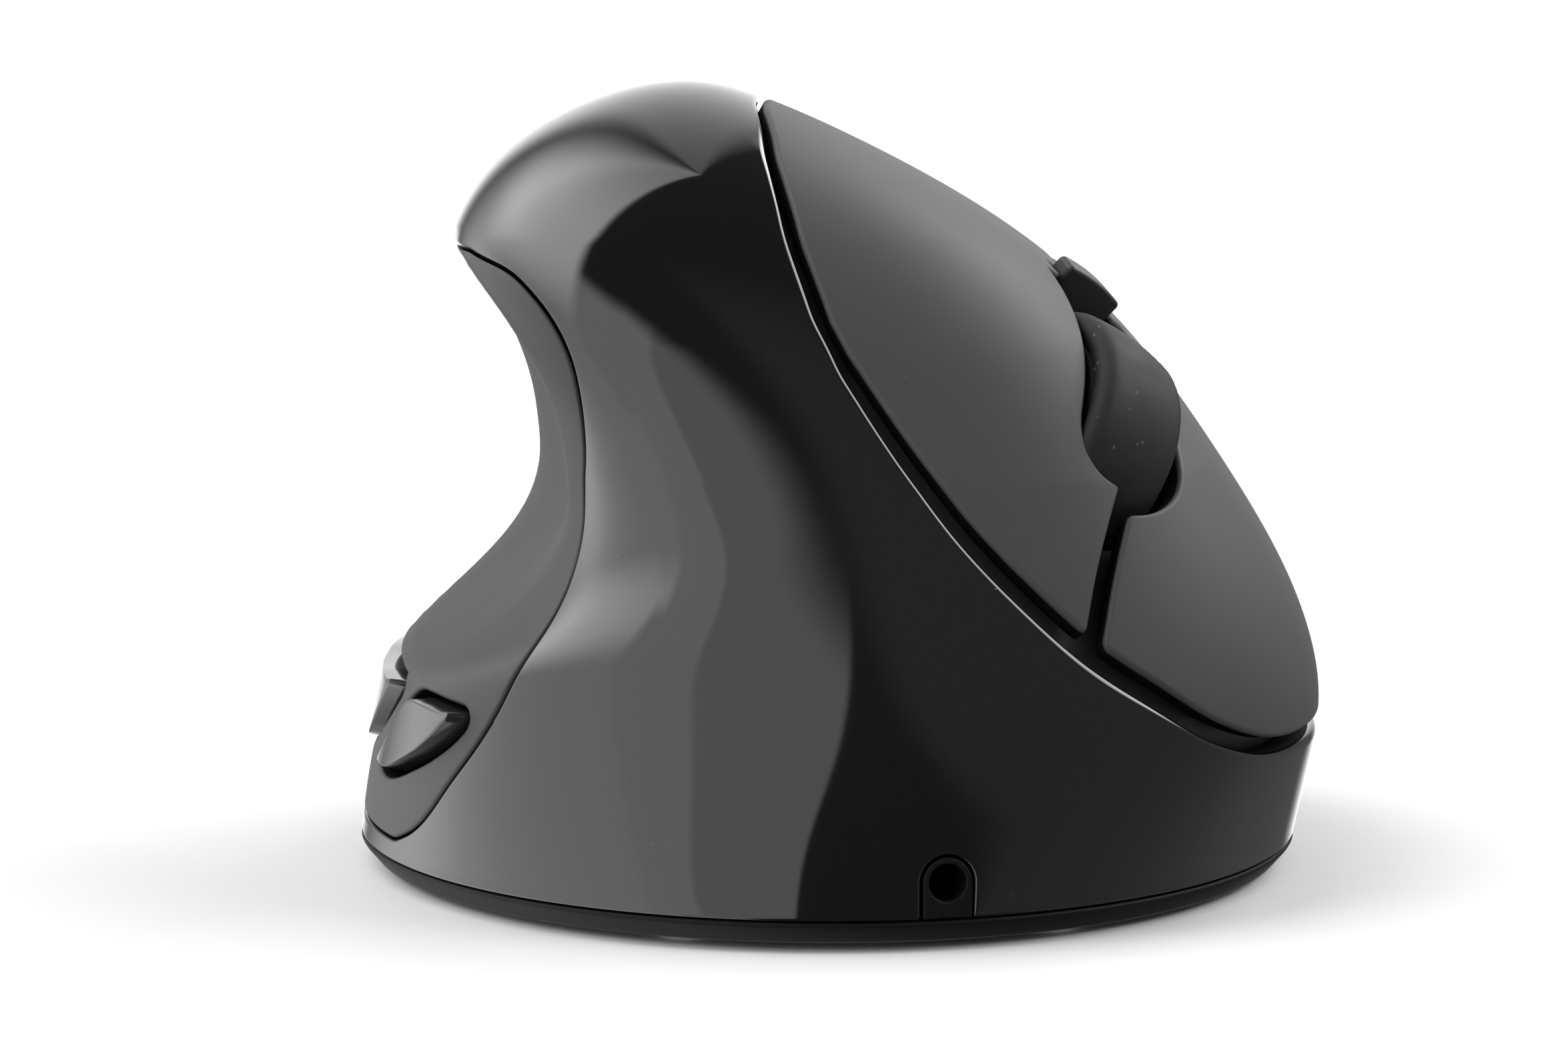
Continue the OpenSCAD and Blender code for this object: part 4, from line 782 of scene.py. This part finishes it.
# Painted shade: the hollow's paint is darkened up to its lip, standing in for the shade the hollow lies in
thumb_places = thumb_side[4]
thumb_turn = np.mod(np.degrees(np.arctan2(thumb_places[:, 1], thumb_places[:, 0])), 360)
hollow_rise = skin(thumb_places)[:, 2] - hollow_z
hollow_rise = hollow_rise / np.where(hollow_rise > 0, hollow_up, hollow_down)
in_hollow = 1 - ((thumb_turn - hollow_turn) / hollow_half_turn) ** 2 - hollow_rise ** 2
painted_hollow_shade = thumb_panel.data.attributes.new("painted_hollow_shade", "FLOAT", "POINT")
painted_hollow_shade.data.foreach_set("value", np.clip(in_hollow * 6 + 0.3, 0, 1))

# Thumb buttons: two polished leaf-shaped caps with flat tops and steep sides, each guided by the
# panel's opening and resting on a small switch behind it.
cap_deep = 3.6
cap_profile = [(0.75, 0), (0.66, 0.02), (0.6, 0.09), (0.56, 0.2), (0.3, 1.2), (0.1, 1.9), (0, 2.4),
               (0, cap_deep)]
# How far the tops stand proud of the skin: turn and height
cap_lift = {"forward": [[196, 0.3], [204, 0.8], [212, 1.3], [221.5, 1.7]],
            "back": [[156, 0.9], [180, 0.6], [190, 0.8], [202, 1.3]]}
button_gloss = gloss_plastic("button_gloss", 0.012, 0.12)
for place_name, loop in cap_loops.items():
    lift = np.array(cap_lift[place_name])

    def cap_top(plan, inset=0.0):
        """Top of the cap, nearly flat over the round skin."""
        turn = np.mod(np.degrees(np.arctan2(plan[..., 1], plan[..., 0])), 360)
        return skin(plan, inset - np.interp(turn, lift[:, 0], lift[:, 1]))

    cap = sheet(cap_top, [(loop, cap_profile)], plan_seeds(0.4, 1, 2.4, 150, 226), 0.4)
    put(place_name + "_cap", cap, place_name + "_key", "button_gloss", button_gloss, place_name + "_button")

# Button frame and finger deck: the dark moulding under the finger plates, with the hinge pins, the
# wheel's cradle and bracket. Little of it shows, through the slots.
frame_black = grained_plastic("frame_black", (0.01, 0.01, 0.011), (0.018, 0.018, 0.019), 0.5, 0.3, 0.02)
dress(frame_black, "button_frame", "wheel_cradle", "cradle_bracket")
black_steel = worn_steel("black_steel", 0.03, 0.45)
dress(steel, "index_hinge_pin", "middle_hinge_pin")
dress(black_steel, "cradle_pin", "wheel_axle")

# Scroll wheel: a rubber tyre with a low crown and soft shoulders, stretched over a dished plastic hub
# on a steel axle. It stands slanted, square to the deck under the finger plates.
wheel_r = 11.7
wheel_w = 9.4
wheel_proud = 2.3
tyre_t = 2.6
deck_n = np.array([0.66, -0.2, 0.72])
deck_n = deck_n / np.linalg.norm(deck_n)
deck_e = np.array([0.22, -0.87, -0.44])
deck_e = deck_e - deck_n * (deck_e @ deck_n)
deck_e = deck_e / np.linalg.norm(deck_e)
deck_s = np.cross(deck_n, deck_e)
deck_c = skin(on_plan(327, 4.7)) - deck_n * (wheel_r - wheel_proud)
slot_middle = -0.9
wheel_c = deck_c + deck_s * slot_middle


def turned(profile, count):
    """A ring turned round the wheel's axle from a closed profile of radius and place along the axle."""
    profile = np.array(profile, float)
    rows = len(profile)
    a = np.arange(count) * 2 * math.pi / count
    spoke = np.cos(a)[:, None] * deck_e + np.sin(a)[:, None] * deck_n
    points = wheel_c + spoke[:, None] * profile[None, :, :1] + deck_s * profile[None, :, 1:]
    faces = []
    for i in range(count):
        a, b = i * rows, (i + 1) % count * rows
        faces += [[a + k, a + (k + 1) % rows, b + (k + 1) % rows, b + k] for k in range(rows)]
    return points.reshape(-1, 3), faces


def round_corner(radius, along, r, from_turn, to_turn, steps=6):
    """Points of a rounded corner of a turned profile."""
    a = np.radians(np.linspace(from_turn, to_turn, steps))
    return [(radius + r * math.sin(t), along + r * math.cos(t)) for t in a]


def wheel_rubber_finish(name):
    """Dull rubber, a little dusty, with a fine moulded grain."""
    material, wire, shader, place = new_finish(name)
    grain = wire.node("ShaderNodeTexNoise", {}, {"Vector": place, "Scale": 3600.0, "Detail": 3.0})
    dust = wire.node("ShaderNodeTexNoise", {}, {"Vector": place, "Scale": 420.0, "Detail": 4.0})
    strewn = wire.node("ShaderNodeMapping", {}, {"Vector": place, "Scale": (1.0, 0.4, 0.7)})
    cell = wire.node("ShaderNodeTexVoronoi", {},
                     {"Vector": strewn, "Scale": 900.0, "Randomness": 1.0}, "Distance")
    chance = Wire(wire.tree, cell.socket.node.outputs["Color"])
    speck = wire.maths("LESS_THAN", cell, 0.1) * wire.maths("GREATER_THAN", chance, 0.3)
    rubber = wire.node("ShaderNodeMix", {"data_type": "RGBA"},
                       {"Factor": dust, "A": (0.005, 0.005, 0.005, 1), "B": (0.012, 0.012, 0.012, 1)},
                       "Result")
    tone = wire.node("ShaderNodeMix", {"data_type": "RGBA"},
                     {"Factor": speck, "A": rubber, "B": (0.045, 0.045, 0.045, 1)}, "Result")
    bump = wire.node("ShaderNodeBump", {}, {"Height": grain, "Strength": 0.4, "Distance": 0.03 * MM})
    feed(shader, Base_Color=tone, Roughness=dust * 0.2 + 0.55, Normal=bump, Specular_IOR_Level=0.18)
    return material


wheel_rubber = wheel_rubber_finish("wheel_rubber")
half_w = wheel_w / 2
shoulder = 1.5
crown_drop = 0.25
tread = [(wheel_r - crown_drop * (s / (half_w - shoulder)) ** 2, s)
         for s in np.linspace(-(half_w - shoulder), half_w - shoulder, 9)]
low_corner = round_corner(wheel_r - crown_drop - shoulder, -(half_w - shoulder), shoulder, 180, 90)
high_corner = round_corner(wheel_r - crown_drop - shoulder, half_w - shoulder, shoulder, 90, 0)
hub_r = wheel_r - tyre_t
tyre_profile = [(hub_r, -half_w + 0.3), *low_corner[:-1], *tread, *high_corner[1:], (hub_r, half_w - 0.3)]
put("tyre", turned(tyre_profile, 160), "wheel", "wheel_rubber", wheel_rubber, "wheel_tyre")
hub_w = half_w - 0.4
hub_profile = [(1.1, -hub_w), (2.4, -hub_w), (2.6, -hub_w + 0.2), (2.7, -hub_w + 1.1), (3, -hub_w + 1.2),
               (hub_r - 1.7, -hub_w + 1.2), (hub_r - 1.5, -hub_w + 1), (hub_r - 1.3, -hub_w + 0.1),
               (hub_r - 1.1, -hub_w), (hub_r, -hub_w)]
hub_profile += [(r, -s) for r, s in reversed(hub_profile)]
put("hub", turned(hub_profile, 120), "wheel", "base_matte", base_matte, "wheel_hub")

# Resolution button: a small grained bar across the way behind the wheel, its top arched, guided by an
# opening between the two finger plates and resting on a small switch.
dpi_e = -13.8
dpi_w = 6.4
dpi_l = 2.8
dpi_proud = 1.5
dpi_arch = 0.35
dpi_rise = 0.12
dpi_tilt = 0.05
dpi_roll = 0.4
dpi_foot_n = 1.4


def on_deck(points):
    """Place of a point on the deck: along the wheel, and across it."""
    return np.stack([(points - deck_c) @ deck_e, (points - deck_c) @ deck_s], axis=-1)


dpi_skin = skin(seek(on_deck, np.array([[dpi_e, slot_middle]]), on_plan(335, 5.3)))[0]
dpi_top = (dpi_skin - deck_c) @ deck_n + dpi_proud


def dpi_face(plan, inset=0.0):
    """Arched top of the cap over the deck, leaning as the plates do."""
    along = plan[..., :1] - dpi_e
    across = plan[..., 1:] - slot_middle
    height = dpi_top + dpi_rise * along - dpi_tilt * across - dpi_arch * (across * 2 / dpi_w) ** 2
    height = height - np.broadcast_to(inset, plan.shape[:-1])[..., None]
    return deck_c + plan[..., :1] * deck_e + plan[..., 1:] * deck_s + height * deck_n


def rounded_bar(grow, corner):
    """Outline of the cap on the deck with round corners, grown all round."""
    a = np.radians(np.arange(0, 91, 15))
    arc = np.stack([np.cos(a), np.sin(a)], axis=1) * corner
    inner = np.array([dpi_l / 2 + grow - corner, dpi_w / 2 + grow - corner])
    corners = [arc + inner, (arc[::-1] + inner) * [-1, 1], -arc - inner, (arc[::-1] + inner) * [1, -1]]
    return np.vstack(corners) + [dpi_e, slot_middle]


dpi_grid = np.meshgrid(np.arange(-1.2, 1.3, 0.4) + dpi_e, np.arange(-3.2, 3.3, 0.4) + slot_middle)
dpi_seeds = np.stack(dpi_grid, axis=-1).reshape(-1, 2)
dpi_rim = even_loop(rounded_bar(0, 0.5), 0.25, 0, dpi_face)
dpi_cap = sheet(dpi_face, [(dpi_rim, rolled_edge(dpi_roll, dpi_top - dpi_foot_n, 7))], dpi_seeds, 0.4)
bar_matte = grained_plastic("bar_matte", (0.007, 0.007, 0.0072), (0.012, 0.012, 0.0122), 0.5, 0.3, 0.02, 0.3)
put("resolution_cap", dpi_cap, "dpi_key", "base_matte", bar_matte, "dpi_button")

# Finger plates: index and middle buttons split by a curved gap, and the fixed palm plate behind them.
# They are thin soft-touch mouldings that follow the skin, with the wheel's slot cut from both buttons.
plate_t = 1.6
plate_roll = 0.4
plate_spacing = 0.7
groove_turn = 0.982
groove_low = 0.17
groove_top = 0.06
split_turn = 1
split_station = 0.03
button_end = 384
palm_start = 385
palm_deep = 2.75
index_gap = 0.4
middle_gap = 1.2
index_slot_ends = 6.8, -12.2
middle_slot_ends = 7.6, -13
index_bar_gap = 0.4
middle_bar_gap = 0.75
# Split between the index and the middle button: turn and station
split_line = [[294, 2.55], [296, 2.9], [299, 3.28], [303, 3.62], [308, 3.93], [315, 4.26], [321, 4.52],
              [327, 4.78], [338, 5.14], [349, 5.46], [360, 5.6], [372, 5.6], [390, 5.5]]


def plate_side(turns, column, groove):
    """Station of the plates' lower or upper edge, a groove's width inside the shell's window."""
    wide = 360 + (turns - 360) / groove_turn
    return curve(plate_edge, np.where(wide > 360, 720 - wide, wide), column) + groove


def slot_outline(gap, front, back):
    """Outline of the wheel's slot on the deck, from its round nose to its square back end."""
    half = wheel_w / 2 + gap
    arc = np.radians(np.arange(-90, 91, 5))
    nose = np.stack([front + half * np.cos(arc), slot_middle + half * np.sin(arc)], axis=1)
    run = np.arange(front - 1, back, -1.0)
    side = np.stack([run, np.full(len(run), half)], axis=1)
    end = [[back, across] for across in np.linspace(half, -half, 13)]
    rest = np.vstack([side, end, side[::-1] * [1, -1]]) + [0, slot_middle]
    return seek(on_deck, np.vstack([nose, rest]), on_plan(327, 4.7))


def bar_outline(gap):
    """Outline of the opening for the resolution button's bar."""
    return seek(on_deck, rounded_bar(gap, 0.6), on_plan(335, 5.3))


index_turns = np.linspace(278.6, button_end, 500)
index_low = np.where(index_turns > 294.5, curve(split_line, index_turns + split_turn) + split_station, 0)
index_low = np.maximum(plate_side(index_turns, 1, groove_low), index_low)
index_loop = band_loop(index_turns, index_low, plate_side(index_turns, 2, -groove_top))
middle_turns = np.linspace(296.8, button_end, 500)
middle_loop = band_loop(middle_turns, plate_side(middle_turns, 1, groove_low),
                        curve(split_line, middle_turns - split_turn) - split_station)
palm_turns = np.linspace(palm_start, 441.4, 300)
palm_loop = band_loop(palm_turns, plate_side(palm_turns, 1, groove_low),
                      plate_side(palm_turns, 2, -groove_top))
plate_seeds = plan_seeds(plate_spacing, 1.4, 8.1, 277, 444)
index_slots = slot_outline(index_gap, *index_slot_ends), bar_outline(index_bar_gap)
middle_slots = slot_outline(middle_gap, *middle_slot_ends), bar_outline(middle_bar_gap)
for plate, loop, slots, body, deep, stands_for in (
        ("index_plate", index_loop, index_slots, "index_key", plate_t, "index_button"),
        ("middle_plate", middle_loop, middle_slots, "middle_key", plate_t, "middle_button"),
        ("palm_rest", palm_loop, index_slots, "housing", palm_deep, "palm_plate")):
    rims = [(even_loop(part, 0.4, 0.3, skin), rolled_edge(plate_roll, deep, 7))
            for part in trimmed(loop, *slots)]
    made = sheet(skin, rims, plate_seeds, plate_spacing)
    put(plate, made, body, "soft_touch", soft_touch, stands_for, inside=base_matte)

# Studio: a white floor that the shadow falls on, in a room with a wide window on the thumb side, a
# lamp box high on the finger side, a white wall behind, and a dark end on the camera's side.
floor_mesh = bpy.data.meshes.new("studio_floor")
floor_mesh.from_pydata([(-3, -3, 0), (3, -3, 0), (3, 3, 0), (-3, 3, 0)], [], [(0, 1, 2, 3)])
floor = bpy.data.objects.new("studio_floor", floor_mesh)
bpy.context.scene.collection.objects.link(floor)
floor_paper = grained_plastic("floor_paper", (0.5, 0.5, 0.5), (0.53, 0.53, 0.53), 0.8, 8, 0.01)
floor_mesh.materials.append(floor_paper)
floor.visible_glossy = False
world = bpy.data.worlds.new("studio")
bpy.context.scene.world = world
world.use_nodes = True
room = Wire(world.node_tree)
gaze = room.node("ShaderNodeTexCoord", {}, {}, "Generated")
gaze_x, gaze_y, gaze_z = (room.node("ShaderNodeSeparateXYZ", {}, {"Vector": gaze}, axis) for axis in "XYZ")
# Degrees round from the camera's end towards the finger side, and degrees up
round_room = room.maths("ARCTAN2", gaze_x, gaze_y * -1) * math.degrees(1)
up_room = room.maths("ARCSINE", gaze_z, 0) * math.degrees(1)


def fade(value, low, high):
    """Rises smoothly from 0 at low to 1 at high, or falls where low is the greater."""
    return room.node("ShaderNodeMapRange", {"interpolation_type": "SMOOTHSTEP"},
                     {"Value": value, "From Min": low, "From Max": high})


window_height = fade(up_room, 15, 40) * fade(up_room, 90, 50)
window_light = fade(round_room, -165, -115) * fade(round_room, -43, -50) * (window_height * 3 + 2.6)
wall_top = fade(up_room + round_room * 0.3, 24, 18)
wall_round = round_room - up_room * 0.4
wall_end = fade(round_room, -50, -43) * fade(wall_round, -7.5, -8.5) * wall_top
door_light = wall_end * (fade(wall_round, -31, -33) * 0.7 + 1.6)
side_light = fade(round_room + up_room * 0.9, 19, 27) * fade(round_room, 165, 110) * fade(up_room, 50, 25)
lamp_height = fade(up_room, 20, 28) * fade(up_room, 58, 48)
lamp_light = fade(round_room, 52, 72) * fade(round_room, 165, 145) * lamp_height
back_light = fade(room.maths("ABSOLUTE", round_room, 0), 156, 170)
glow = 0.14 + window_light + door_light + side_light * 0.22 + lamp_light * 8 + back_light * 1.2
room_light = world.node_tree.nodes["Background"]
world.node_tree.links.new(glow.socket, room_light.inputs["Strength"])
room_light.inputs["Color"].default_value = (1, 1, 1, 1)
bpy.context.scene.view_settings.view_transform = "Standard"
